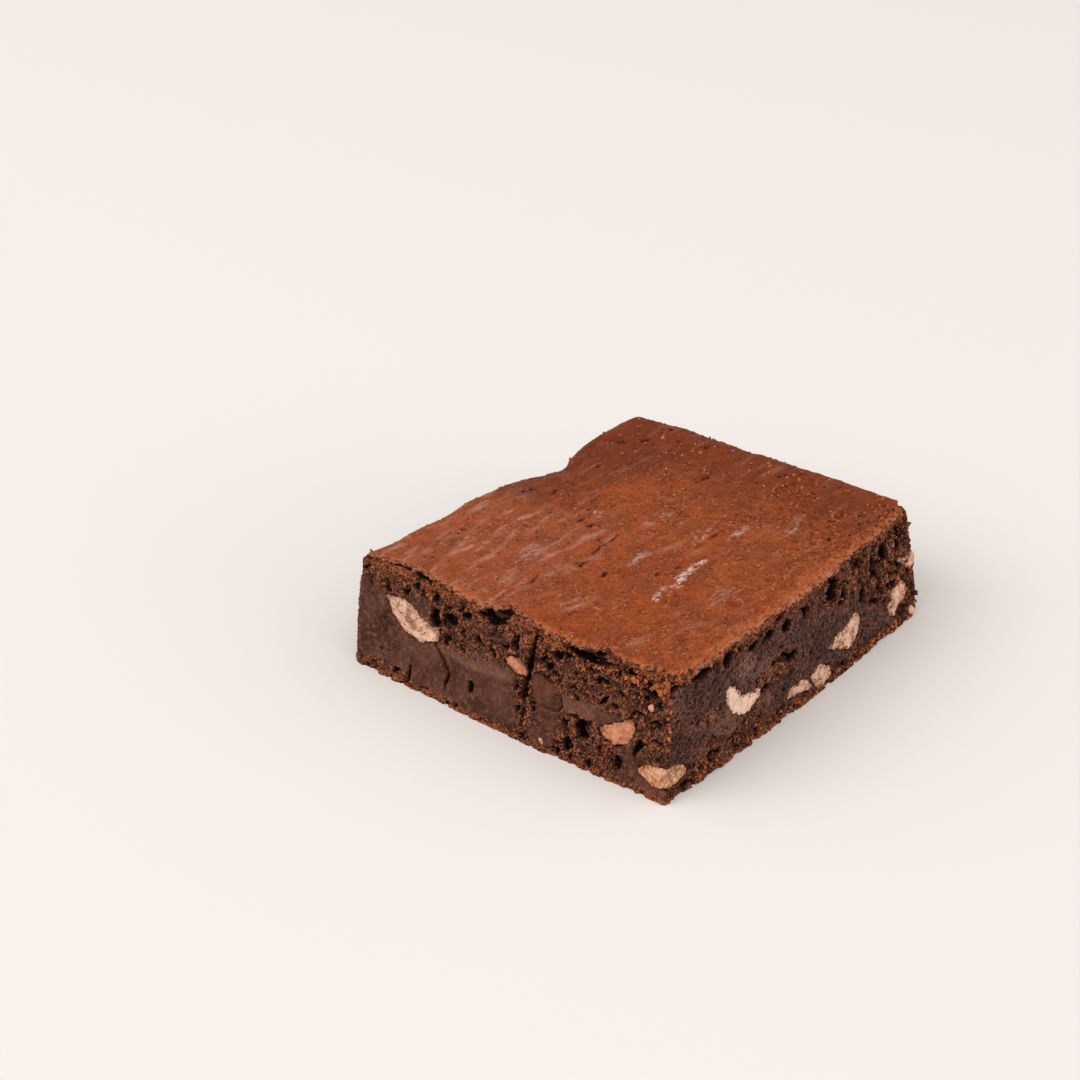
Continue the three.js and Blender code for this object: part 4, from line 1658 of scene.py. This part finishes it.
@dataclass(frozen=True)
class CrumbFinish:
    """Fudgy dark crumb, orange where it is torn into grains, strongest on raised points where it is partly a
    painted highlight; painted black shade in its pits, pores, cavities and hollows.
    """

    name: str = "brownie crumb"
    fudge: Colour = (0.098, 0.036, 0.024)
    fudge_dark: Colour = (0.046, 0.015, 0.009)
    orange: Colour = (0.37, 0.112, 0.042)
    smear: Colour = (0.22, 0.096, 0.068)
    # The near-black of the painted shade in pits, pores, cavities and hollows.
    pit: Colour = (0.003, 0.001, 0.0005)
    baked: Colour = (0.120, 0.036, 0.017)
    rough: tuple[float, float] = (0.46, 0.80)

    def make(self) -> Material:
        """Builds the material."""
        s = Shader(self.name)
        dust, fine, middling, broad = s.noise(0.16, 2), s.noise(0.42, 3), s.noise(1.4), s.noise(6.0)
        loose = s.value("loose")
        colour = s.mix(s.span(broad, 0.35, 0.65), self.fudge_dark, self.fudge)
        colour = s.mix(s.span(middling, 0.5, 0.72, 0.0, 0.45), colour, self.smear)
        colour = s.mix(s.times(s.value("smear"), 0.8), colour, self.smear)
        # Orange torn grains, strongest on raised points: grain colour with a painted highlight on the peaks.
        peak = s.span(s.value("hollow"), 0.1, -0.35)
        clump = s.noise(0.75, 2)
        grain = s.plus(s.plus(fine, clump), s.times(dust, 0.5))
        grain = s.span(grain, 1.24, 1.46)
        grain = s.times(grain, s.plus(peak, 0.25))
        grain = s.times(grain, s.span(loose, 0.0, 0.8, 0.25, 1.0))
        colour = s.mix(grain, colour, self.orange)
        toasted = s.span(s.plus(fine, dust), 0.85, 1.05, 0.15, 0.85)
        colour = s.mix(s.times(s.value("toast"), toasted), colour, self.orange)
        # Pores painted near-black as shade.
        dots = s.most(s.span(s.spots(0.95), 0.34, 0.22), s.span(s.spots(1.7), 0.26, 0.18))
        dots = s.times(dots, s.times(s.value("porous"), s.span(middling, 0.34, 0.46)))
        colour = s.mix(s.times(dots, 0.9), colour, self.pit)
        # Painted shade in the cavities of torn and porous crumb.
        porous = s.times(s.value("porous"), 0.85)
        painted_cavity_shade = s.most(s.span(loose, 0.0, 0.7, 0.3, 0.9), porous)
        painted_cavity_shade = s.times(s.span(fine, 0.49, 0.41), painted_cavity_shade)
        colour = s.mix(painted_cavity_shade, colour, self.pit)
        baked = s.span(s.plus(fine, middling), 0.8, 1.15, 0.25, 0.85)
        colour = s.mix(s.times(s.value("baked"), baked), colour, self.baked)
        # Painted shade where the surface lies below its neighbours.
        colour = s.mix(s.span(s.value("hollow"), 0.08, 0.55, 0.0, 0.92), colour, self.pit)
        speck = s.times(s.span(s.spots(0.9), 0.16, 0.05), s.span(middling, 0.45, 0.6))
        colour = s.mix(s.times(speck, 0.6), colour, self.orange)
        # Painted shade in holes, pores, cracks and hollow grains.
        colour = s.mix(s.value("pit"), colour, self.pit)
        rough = s.span(s.plus(loose, s.times(fine, 0.5)), 0.1, 1.1, *self.rough)
        s.set(Base_Color=colour, Roughness=rough, Specular_IOR_Level=0.08)
        relief = s.times(s.plus(fine, s.times(dust, 0.4)),
                         s.span(loose, 0.0, 0.7, 0.35, 1.0))
        s.bump(s.less(relief, dots), 0.34)
        return s.material


@dataclass(frozen=True)
class CrustFinish:
    """Thin satin crust with fine streaks, a painted sheen and painted highlights; painted shade darkens its
    hollows, pits and cracks, and it is darker at the baked edges, partly painted shade.
    """

    name: str = "brownie crust"
    low: Colour = (0.165, 0.028, 0.005)
    high: Colour = (0.385, 0.080, 0.017)
    # The colour of the painted sheen.
    pale: Colour = (0.49, 0.215, 0.145)
    # The colour of the painted highlight.
    painted_highlight: Colour = (0.72, 0.50, 0.44)
    dark: Colour = (0.125, 0.020, 0.004)
    # The near-black of painted shade in pits, cracks, holes and torn gaps.
    pit: Colour = (0.02, 0.004, 0.002)
    side: Colour = (0.36, 0.145, 0.085)
    speck: Colour = (0.55, 0.155, 0.056)
    # How strongly the painted sheen is laid on.
    film: float = 0.72
    rough: tuple[float, float] = (0.34, 0.50)

    def make(self) -> Material:
        """Builds the material."""
        s = Shader(self.name)
        grain, lines = s.noise(0.5, 4, (3.0, 1.0, 1.0)), s.noise(1.3, 4, (4.5, 1.0, 1.0))
        broad, mottle, dust = s.noise(9.0, 2), s.noise(2.4, 4), s.noise(0.22, 2)
        sand = s.plus(s.noise(0.34, 4), s.times(dust, 0.5))
        crumbly = s.span(s.noise(5.0, 3), 0.44, 0.6)
        sheen = s.times(s.value("sheen"), s.span(lines, 0.32, 0.55, 0.35, 1.0))
        colour = s.mix(s.span(sand, 0.55, 0.9, 0.1, 0.9), self.low, self.high)
        colour = s.mix(s.span(broad, 0.5, 0.72, 0, 0.35), colour, self.dark)
        colour = s.mix(s.span(mottle, 0.54, 0.68, 0, 0.5), colour, self.dark)
        dim = s.times(crumbly, s.span(s.noise(0.9, 3), 0.4, 0.6, 0.1, 0.5))
        colour = s.mix(dim, colour, self.dark)
        # Darker towards the baked edges: partly baked colour, partly painted shade.
        bake_and_shade = s.value("bake_and_shade")
        colour = s.mix(s.span(bake_and_shade, 0.0, 1.0, 0.0, 0.72), colour, self.dark)
        scorch = s.span(s.noise(1.9, 4), 0.50, 0.62, 0, 0.6)
        scorch = s.times(s.span(bake_and_shade, 0.0, 0.6, 0.2, 1.0), scorch)
        colour = s.mix(scorch, colour, self.dark)
        # Painted sheen: pale laid in streaks where the film falls away.
        colour = s.mix(s.times(sheen, self.film), colour, self.pale)
        flake = s.span(s.noise(1.3, 3, (1.4, 1.0, 1.0)), 0.585, 0.615)
        flake = s.times(flake, s.span(crumbly, 0, 1, 0.25, 1))
        flake = s.most(flake, s.value("flake"))
        speck = s.times(s.span(s.spots(0.62), 0.36, 0.22), crumbly)
        speck = s.most(speck, s.times(flake, s.span(sand, 0.5, 0.8, 0.3, 1.0)))
        colour = s.mix(s.times(speck, s.span(bake_and_shade, 0.0, 0.7, 0.82, 0.3)), colour, self.speck)
        # Holes painted near-black as shade; they are also bumped in.
        hole = s.times(s.span(s.noise(0.8, 3), 0.34, 0.30), s.span(broad, 0.35, 0.55, 0.3, 1.0))
        hole = s.most(hole, s.span(s.spots(3.1), 0.08, 0.05))
        colour = s.mix(s.times(hole, 0.85), colour, self.pit)
        edge = s.times(s.value("rim"), s.span(grain, 0.4, 0.6))
        colour = s.mix(s.times(edge, 0.6), colour, self.speck)
        # The torn edge: pinkish crust, with gaps of painted black shade.
        torn = s.span(s.plus(grain, s.times(dust, 0.4)), 0.46, 0.66)
        torn = s.mix(torn, self.pit, self.side)
        colour = s.mix(s.span(s.value("side"), 0.02, 0.3, 0, 0.95), colour, torn)
        # Painted shade in the pits and cracks.
        colour = s.mix(s.value("pit"), colour, self.pit)
        # Painted highlight on the glossy patches and the ribbon; they also get a higher specular level.
        shine = s.span(s.plus(lines, grain), 0.82, 1.08, 0.1, 1.0)
        shine = s.times(s.value("shine"), shine)
        colour = s.mix(s.times(shine, 0.85), colour, self.painted_highlight)
        rough = s.span(s.plus(grain, s.times(broad, 0.6)), 0.5, 1.1, *self.rough)
        glossy = s.most(shine, s.times(sheen, 0.3))
        s.set(Base_Color=colour, Roughness=rough, Specular_IOR_Level=s.span(glossy, 0, 1, 0.12, 0.9))
        relief = s.plus(grain, s.times(lines, 0.5))
        relief = s.times(relief, s.span(s.less(crumbly, sheen), 0, 1, 0.35, 1.0))
        relief = s.plus(relief, s.times(speck, 0.9))
        relief = s.less(relief, s.times(hole, 1.1))
        s.bump(relief, 0.30)
        return s.material


@dataclass(frozen=True)
class ChocolateFinish:
    """Chocolate cut through: smooth, faintly waxy, duller and browner towards its rim."""

    name: str
    face: Colour
    shade: Colour
    rim: Colour
    rough: float = 0.42
    shine: float = 0.4
    smeared: float = 0.6
    smudge: Colour = (0.22, 0.088, 0.052)
    seamed: float = 0.7

    def make(self) -> Material:
        """Builds the material."""
        s = Shader(self.name)
        fine, broad = s.noise(0.3, 4), s.noise(2.2, 3)
        colour = s.mix(s.span(broad, 0.36, 0.66), self.face, self.shade)
        colour = s.mix(s.span(s.noise(3.6, 2), 0.57, 0.66, 0, self.smeared), colour, self.rim)
        colour = s.mix(s.span(fine, 0.56, 0.72, 0, 0.5), colour, self.rim)
        colour = s.mix(s.span(s.value("grit"), 0.3, 0.0, 0, 0.4), colour, self.rim)
        seam = s.maths("ABSOLUTE", s.less(s.noise(1.5, 2, (2.6, 2.6, 0.8)), 0.5))
        seam = s.times(s.span(seam, 0.026, 0.008, 0, self.seamed), s.span(broad, 0.42, 0.54))
        colour = s.mix(seam, colour, self.rim)
        smudge = s.times(s.value("smudge"), s.span(fine, 0.35, 0.6, 0.5, 0.95))
        colour = s.mix(smudge, colour, self.smudge)
        rim = s.times(s.value("edge"), s.span(s.noise(0.6), 0.4, 0.58, 0.0, 0.9))
        colour = s.mix(rim, colour, self.rim)
        s.set(Base_Color=colour, Roughness=s.span(fine, 0.3, 0.7, self.rough, self.rough + 0.2),
              Specular_IOR_Level=self.shine, Subsurface_Weight=0.12, Subsurface_Scale=0.5 * MM)
        relief = s.plus(s.times(fine, 0.4), s.noise(0.9, 4, (1.0, 1.0, 2.2)))
        s.bump(s.less(relief, seam), 0.35)
        return s.material


@dataclass(frozen=True)
class GrainFinish:
    """Loose crumbs, each its own shade between two colours."""

    name: str
    low: Colour
    high: Colour
    rough: float = 0.62
    shine: float = 0.15

    def make(self) -> Material:
        """Builds the material."""
        s = Shader(self.name)
        fine = s.noise(0.25, 3)
        share = s.plus(s.value("shade"), s.times(s.less(fine, 0.5), 0.9))
        s.set(Base_Color=s.mix(s.span(share, 0.0, 1.0), self.low, self.high),
              Roughness=s.span(fine, 0.3, 0.7, self.rough, self.rough + 0.15), Specular_IOR_Level=self.shine)
        s.bump(fine, 0.05)
        return s.material


# ---- The studio ----


@dataclass(frozen=True)
class Panel:
    """A soft rectangular light, hung in millimetres, with its power in watts."""

    name: str
    place: Triple
    size: tuple[float, float]
    power: float
    colour: Colour
    aim: Triple = (0, 0, 10)

    def hang(self) -> None:
        """Makes the light and turns it to face its aim."""
        light = bpy.data.lights.new(self.name, "AREA")
        light.shape = "RECTANGLE"
        light.size, light.size_y = (side * MM for side in self.size)
        light.energy = self.power
        light.color = self.colour
        lamp = bpy.data.objects.new(self.name, light)
        lamp.location = Vector(self.place) * MM
        lamp.rotation_euler = (Vector(self.aim) - Vector(self.place)).to_track_quat("-Z", "Y").to_euler()
        bpy.context.scene.collection.objects.link(lamp)


@dataclass
class Studio:
    """Pale floor, soft daylight from the left and behind, and the camera."""

    camera_place: Triple = (-285.16, -188.24, 208.0)
    forward: Triple = (0.6979, 0.5339, -0.4773)
    upright: Triple = (0.3597, 0.3151, 0.8783)
    field_of_view: float = 33.0
    sensor: float = 36.0
    clip: tuple[float, float] = (0.01, 20.0)
    floor_colour: Colour = (0.80, 0.76, 0.735)
    floor_half: float = 4000.0
    sky_colour: Colour = (1.0, 0.975, 0.95)
    sky_strength: tuple[float, float] = (1.05, 0.32)
    sky_dim_side: Triple = (0.70, 0.53, 0.36)
    sky_dim_span: tuple[float, float] = (0.35, 1.0)
    panels: tuple[Panel, ...] = (
        Panel("window", (-2700, 1260, 2280), (3000, 2400), 68.0, (1.0, 0.98, 0.96)),
        Panel("fill", (700, -2900, 560), (2400, 1200), 22.0, (1.0, 0.98, 0.97)),
    )

    def build(self) -> None:
        """Makes the floor, the lights and the camera."""
        self._floor()
        self._sky()
        for panel in self.panels:
            panel.hang()
        self._camera()

    def _floor(self) -> None:
        """A wide plain floor."""
        half = self.floor_half * MM
        mesh = bpy.data.meshes.new("floor")
        corners = [(-half, -half, 0), (half, -half, 0), (half, half, 0), (-half, half, 0)]
        mesh.from_pydata(corners, [], [(0, 1, 2, 3)])
        s = Shader("floor")
        s.set(Base_Color=self.floor_colour, Roughness=0.8, Specular_IOR_Level=0.2)
        mesh.materials.append(s.material)
        floor = bpy.data.objects.new("floor", mesh)
        bpy.context.scene.collection.objects.link(floor)

    def _sky(self) -> None:
        """Pale light from all round, dimmer low down on one side."""
        world = bpy.data.worlds.new("room")
        world.use_nodes = True
        tree = world.node_tree
        sky = tree.nodes["Background"]
        sky.inputs["Color"].default_value = (*self.sky_colour, 1)
        place = tree.nodes.new("ShaderNodeTexCoord")
        facing = tree.nodes.new("ShaderNodeVectorMath")
        facing.operation = "DOT_PRODUCT"
        facing.inputs[1].default_value = Vector(self.sky_dim_side).normalized()
        fade = tree.nodes.new("ShaderNodeMapRange")
        fade.interpolation_type = "SMOOTHSTEP"
        limits = (*self.sky_dim_span, *self.sky_strength)
        for name, amount in zip(("From Min", "From Max", "To Min", "To Max"), limits):
            fade.inputs[name].default_value = amount
        tree.links.new(place.outputs["Generated"], facing.inputs[0])
        tree.links.new(facing.outputs["Value"], fade.inputs["Value"])
        tree.links.new(fade.outputs["Result"], sky.inputs["Strength"])
        bpy.context.scene.world = world

    def _camera(self) -> None:
        """The camera, in front of the south-west corner and looking down a little."""
        lens = bpy.data.cameras.new("camera")
        lens.sensor_width = self.sensor
        lens.angle = math.radians(self.field_of_view)
        lens.clip_start, lens.clip_end = self.clip
        camera = bpy.data.objects.new("camera", lens)
        back = -Vector(self.forward).normalized()
        right = Vector(self.upright).cross(back).normalized()
        up = back.cross(right)
        turn = Matrix((right, up, back)).transposed().to_4x4()
        camera.matrix_world = Matrix.Translation(Vector(self.camera_place) * MM) @ turn
        bpy.context.scene.collection.objects.link(camera)
        bpy.context.scene.camera = camera
        bpy.context.scene.view_settings.view_transform = "Standard"


# ---- The brownie ----


@dataclass(frozen=True)
class Bed:
    """One kind of loose crumb and the places it is strewn over."""

    name: str
    seed: int
    sizes: tuple[float, float]
    finish: GrainFinish
    strewn: tuple[tuple[Array, Array, Array, int], ...]
    sink: float = 0.25

    def build(self, form: SlabForm) -> bpy.types.Object:
        """Makes the piece; each place strewn over gives points, ways out, weights and a count."""
        rng = np.random.default_rng(self.seed)
        spots, ways = [], []
        for places, outward, weight, count in self.strewn:
            pick = rng.choice(len(weight), count, p=weight / weight.sum())
            spots.append(places[pick])
            ways.append(outward[pick])
        crumbs = Crumbs(form, self.name, self.seed, self.sizes, sink=self.sink)
        piece = crumbs.build(np.concatenate(spots), np.concatenate(ways), self.finish.make())
        return piece


class Brownie:
    """The whole brownie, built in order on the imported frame."""

    CHUNKS = (
        Chunk("chunk_west_long", W, "chunk_milk", 0.32, 0.08, 0.0, (
            Spot(W, 25.6, 14.6, 2.0, 1.1, 1.0, 35),
            Spot(W, 29.5, 16.2, 2.6, 0.35, 0.7, 25),
        )),
        Chunk("chunk_west_oval", W, "chunk_caramel", 0.3, 0.2),
        Chunk("chunk_west_dark", W, "chunk_dark", 0.4, 0.12),
        Chunk("chunk_west_wedge", W, "chunk_caramel", 0.35, 0.22),
        Chunk("chunk_south_crescent", S, "chunk_white", 0.4, 0.1, 0.08),
        Chunk("chunk_south_low_west", S, "chunk_milk", 0.5, 0.14, 0.2),
        Chunk("chunk_south_low_east", S, "chunk_milk", 0.5, 0.16, 0.22),
        Chunk("chunk_south_lozenge", S, "chunk_milk", 0.45, 0.12, 0.14),
        Chunk("chunk_south_far", S, "chunk_milk", 0.5, 0.16, 0.16),
        Chunk("chunk_corner_front", W, "chunk_caramel", 0.3, 0.22, 0.12),
        Chunk("chunk_corner_east", S, "chunk_milk", 0.2, 0.16),
    )
    CHIPS = ((W, -9.9, 2.1), (W, -33.6, 19.1), (S, 46.6, 1.6))
    CORNER_CARAMEL = ChocolateFinish(
        "pale caramel", (0.66, 0.36, 0.23), (0.58, 0.25, 0.115), (0.24, 0.08, 0.03)
    )
    CHOCOLATES = {
        "chunk_milk": ChocolateFinish(
            "milk chocolate", (0.70, 0.42, 0.295), (0.56, 0.295, 0.185), (0.20, 0.07, 0.035), seamed=0.9
        ),
        "chunk_white": ChocolateFinish(
            "white chocolate", (0.80, 0.54, 0.42), (0.68, 0.42, 0.31), (0.28, 0.11, 0.06),
            smeared=0.25, seamed=0.0,
        ),
        "chunk_caramel": ChocolateFinish(
            "caramel chocolate", (0.56, 0.225, 0.115), (0.45, 0.150, 0.066), (0.20, 0.06, 0.02), seamed=0.4
        ),
        "chunk_dark": ChocolateFinish(
            "dark chocolate", (0.115, 0.037, 0.022), (0.085, 0.026, 0.014), (0.05, 0.015, 0.008),
            rough=0.5, shine=0.12,
        ),
    }

    ORANGE = GrainFinish("orange crumb", (0.13, 0.032, 0.010), (0.48, 0.130, 0.038))
    DARK = GrainFinish("dark crumb", (0.03, 0.009, 0.005), (0.11, 0.034, 0.018))
    BAKED = GrainFinish("crust crumb", (0.11, 0.026, 0.008), (0.42, 0.104, 0.032))
    # Near-white crumbs on the crust: partly their own colour, partly painted glints.
    SUGAR_GLINTS = GrainFinish("sugar_glints", (0.72, 0.60, 0.54), (0.88, 0.80, 0.74), 0.2, 0.6)
    CHIP = GrainFinish("chocolate chip", (0.52, 0.22, 0.12), (0.66, 0.36, 0.24), 0.45, 0.4)

    def __init__(self) -> None:
        """Reads the form and draws the relief."""
        self.form = SlabForm()
        self.relief = CrumbRelief(self.form)

    def build(self) -> None:
        """Builds every piece and sets it on the body."""
        crumb = CrumbFinish().make()
        nodes = [chunk.node for chunk in self.CHUNKS]
        cut = CutFaces(self.form, self.relief, join_trees(nodes))
        cut_piece = cut.build(crumb)
        body = TinBody(self.form, self.relief)
        body_piece = body.build(crumb)
        crust = Crust(self.form)
        crust_piece = crust.build(CrustFinish().make())
        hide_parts("slab")
        chocolates = {slot: finish.make() for slot, finish in self.CHOCOLATES.items()}
        pale = self.CORNER_CARAMEL.make()
        chunks, rims = [], []
        for chunk in self.CHUNKS:
            finish = pale if chunk.node == "chunk_corner_front" else chocolates[chunk.slot]
            piece, rim = chunk.build(self.form, finish)
            chunks.append(piece)
            rims.append(rim)
        loose = self._crumbs(cut, body, crust, rims)
        for piece in [cut_piece, body_piece, crust_piece, *chunks, *loose]:
            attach(piece, BODY)
            LOG.info("%s rides on %s", piece.name, BODY)

    def _wall_weights(self, cut: CutFaces) -> tuple[Array, ...]:
        """How thickly crumbs lie on the cut faces.

        Args:
            cut: the two cut faces, already built.

        Returns:
            The weight of each place for torn crumb, the ledge under the crust, the foot and the corners.
        """
        height = cut.outside[..., 2]
        torn = np.clip(cut.loose - 0.35, 0, 1) ** 1.3
        torn = torn * np.where((cut.outside[..., 1] < -36) & (height > 6), 0.3, 1.0)
        ledge = ramp(height, 21.5, 23.5) * (cut.walk < self.form.front_corner)[:, None]
        foot = ramp(height, 2.4, 0.8) * ramp(cut.walk, 180.0, 160.0)[:, None]
        from_front = np.abs(cut.walk - self.form.front_corner)[:, None]
        corner = ramp(from_front, 1.0, 0.2) * ramp(np.abs(height - 16.5), 8.0, 4.0)
        corner = corner + 0.4 * ramp(np.abs(cut.walk), 2.0, 0.5)[:, None]
        return tuple(weight.reshape(-1) for weight in (torn, ledge, foot, corner))

    def _top_weights(self, places: Array, heaps: tuple[Triple, ...]) -> Pair:
        """How thickly crumbs and the near-white glint crumbs lie on the crust.

        Args:
            places: places on the crust.
            heaps: x, y and reach of each drift of crumbs.

        Returns:
            The weight of each place for crumbs, and for the glint crumbs.
        """
        x, y = places[:, 0], places[:, 1]
        inner = ramp(np.abs(x), 48.0, 44.0) * ramp(np.abs(y), 39.0, 35.0)
        brink = ramp(np.minimum(x + 46.0, y + 37.0), 9.0, 1.0)
        heaped = sum(np.exp(-((x - hx) ** 2 + (y - hy) ** 2) / reach**2) for hx, hy, reach in heaps)
        drift = np.clip(self.relief.slow.layered(places, 9.0), 0, 1)
        thick = 0.2 + drift + 1.6 * heaped + 0.9 * brink
        return inner * thick * (1 - 0.75 * ramp(x + y, 5.0, 50.0)), inner

    def _crumbs(
        self, cut: CutFaces, body: TinBody, crust: Crust, rims: list[Pair]
    ) -> list[bpy.types.Object]:
        """The crumbs stuck to the walls, along the crust's broken edge and on top.

        Args:
            cut: the two cut faces, already built.
            body: the rest of the slab, already built.
            crust: the crust, already built.
            rims: places round each chunk's edge, and the way out of the face there.

        Returns:
            One piece for each kind of crumb, then the chips.
        """
        # Each of these is places and the ways out there; a weight and a count follow in the beds.
        wall = cut.outside.reshape(-1, 3), cut.normals.reshape(-1, 3)
        tin = body.outside, body.normals
        edge = crust.border
        surface = crust.surface.reshape(-1, 3)
        top = surface, np.broadcast_to((0.0, 0.0, 1.0), surface.shape)
        rim = tuple(np.concatenate([one[i] for one in rims]) for i in (0, 1))

        torn, ledge, foot, corner = self._wall_weights(cut)
        crumby, inner = self._top_weights(surface, crust.heaps)
        west_edge = crust.border_cut * (edge[0][:, 0] < -40) * 1.0
        every_edge = np.where(crust.border_cut, 0.3, 0.02) + west_edge
        low = 0.25 + ramp(tin[0][:, 2], 3.0, 0.8)
        even = np.ones(len(rim[0]))
        beds = (
            Bed("crumbs_orange", 71, (0.3, 1.0), self.ORANGE, (
                (*wall, torn, 420), (*edge, every_edge, 700), (*wall, ledge, 330), (*wall, foot, 380),
                (*wall, corner, 60), (*rim, even, 70), (*tin, low, 300))),
            Bed("crumbs_dark", 72, (0.35, 1.2), self.DARK, (
                (*wall, torn, 420), (*edge, west_edge, 160), (*wall, foot, 180), (*tin, low, 260))),
            Bed("crumbs_top", 73, (0.25, 0.95), self.BAKED, ((*top, crumby, 1100),), 0.3),
            Bed("crumbs_top_dark", 74, (0.25, 0.9), self.DARK, ((*top, crumby, 110),), 0.4),
            Bed("sugar_glints", 75, (0.14, 0.34), self.SUGAR_GLINTS, ((*top, inner, 90), (*wall, torn, 30)), 0.4),
        )
        return [bed.build(self.form) for bed in beds] + [self._chips(cut)]

    def _chips(self, cut: CutFaces) -> bpy.types.Object:
        """The few chips of chocolate bared in the cut faces.

        Args:
            cut: the two cut faces, already built.

        Returns:
            The chips' object.
        """
        places, ways = cut.outside.reshape(-1, 3), cut.normals.reshape(-1, 3)
        south = np.repeat(cut.walk > self.form.front_corner, cut.outside.shape[1])
        picked = []
        for wall, run, z in self.CHIPS:
            along = places[:, 1] if wall is W else places[:, 0]
            gap = np.hypot(along - run, places[:, 2] - z) + 99.0 * (south != (wall is S))
            picked.append(int(gap.argmin()))
        chips = Crumbs(self.form, "chocolate_chips", 79, (1.5, 2.4), 0.5, 0.4)
        return chips.build(places[picked], ways[picked], self.CHIP.make())


def main() -> None:
    """Builds the brownie and the studio."""
    logging.basicConfig(level=logging.INFO, format="%(message)s")
    Brownie().build()
    Studio().build()
    bpy.context.view_layer.update()


if __name__ == "__main__":
    main()
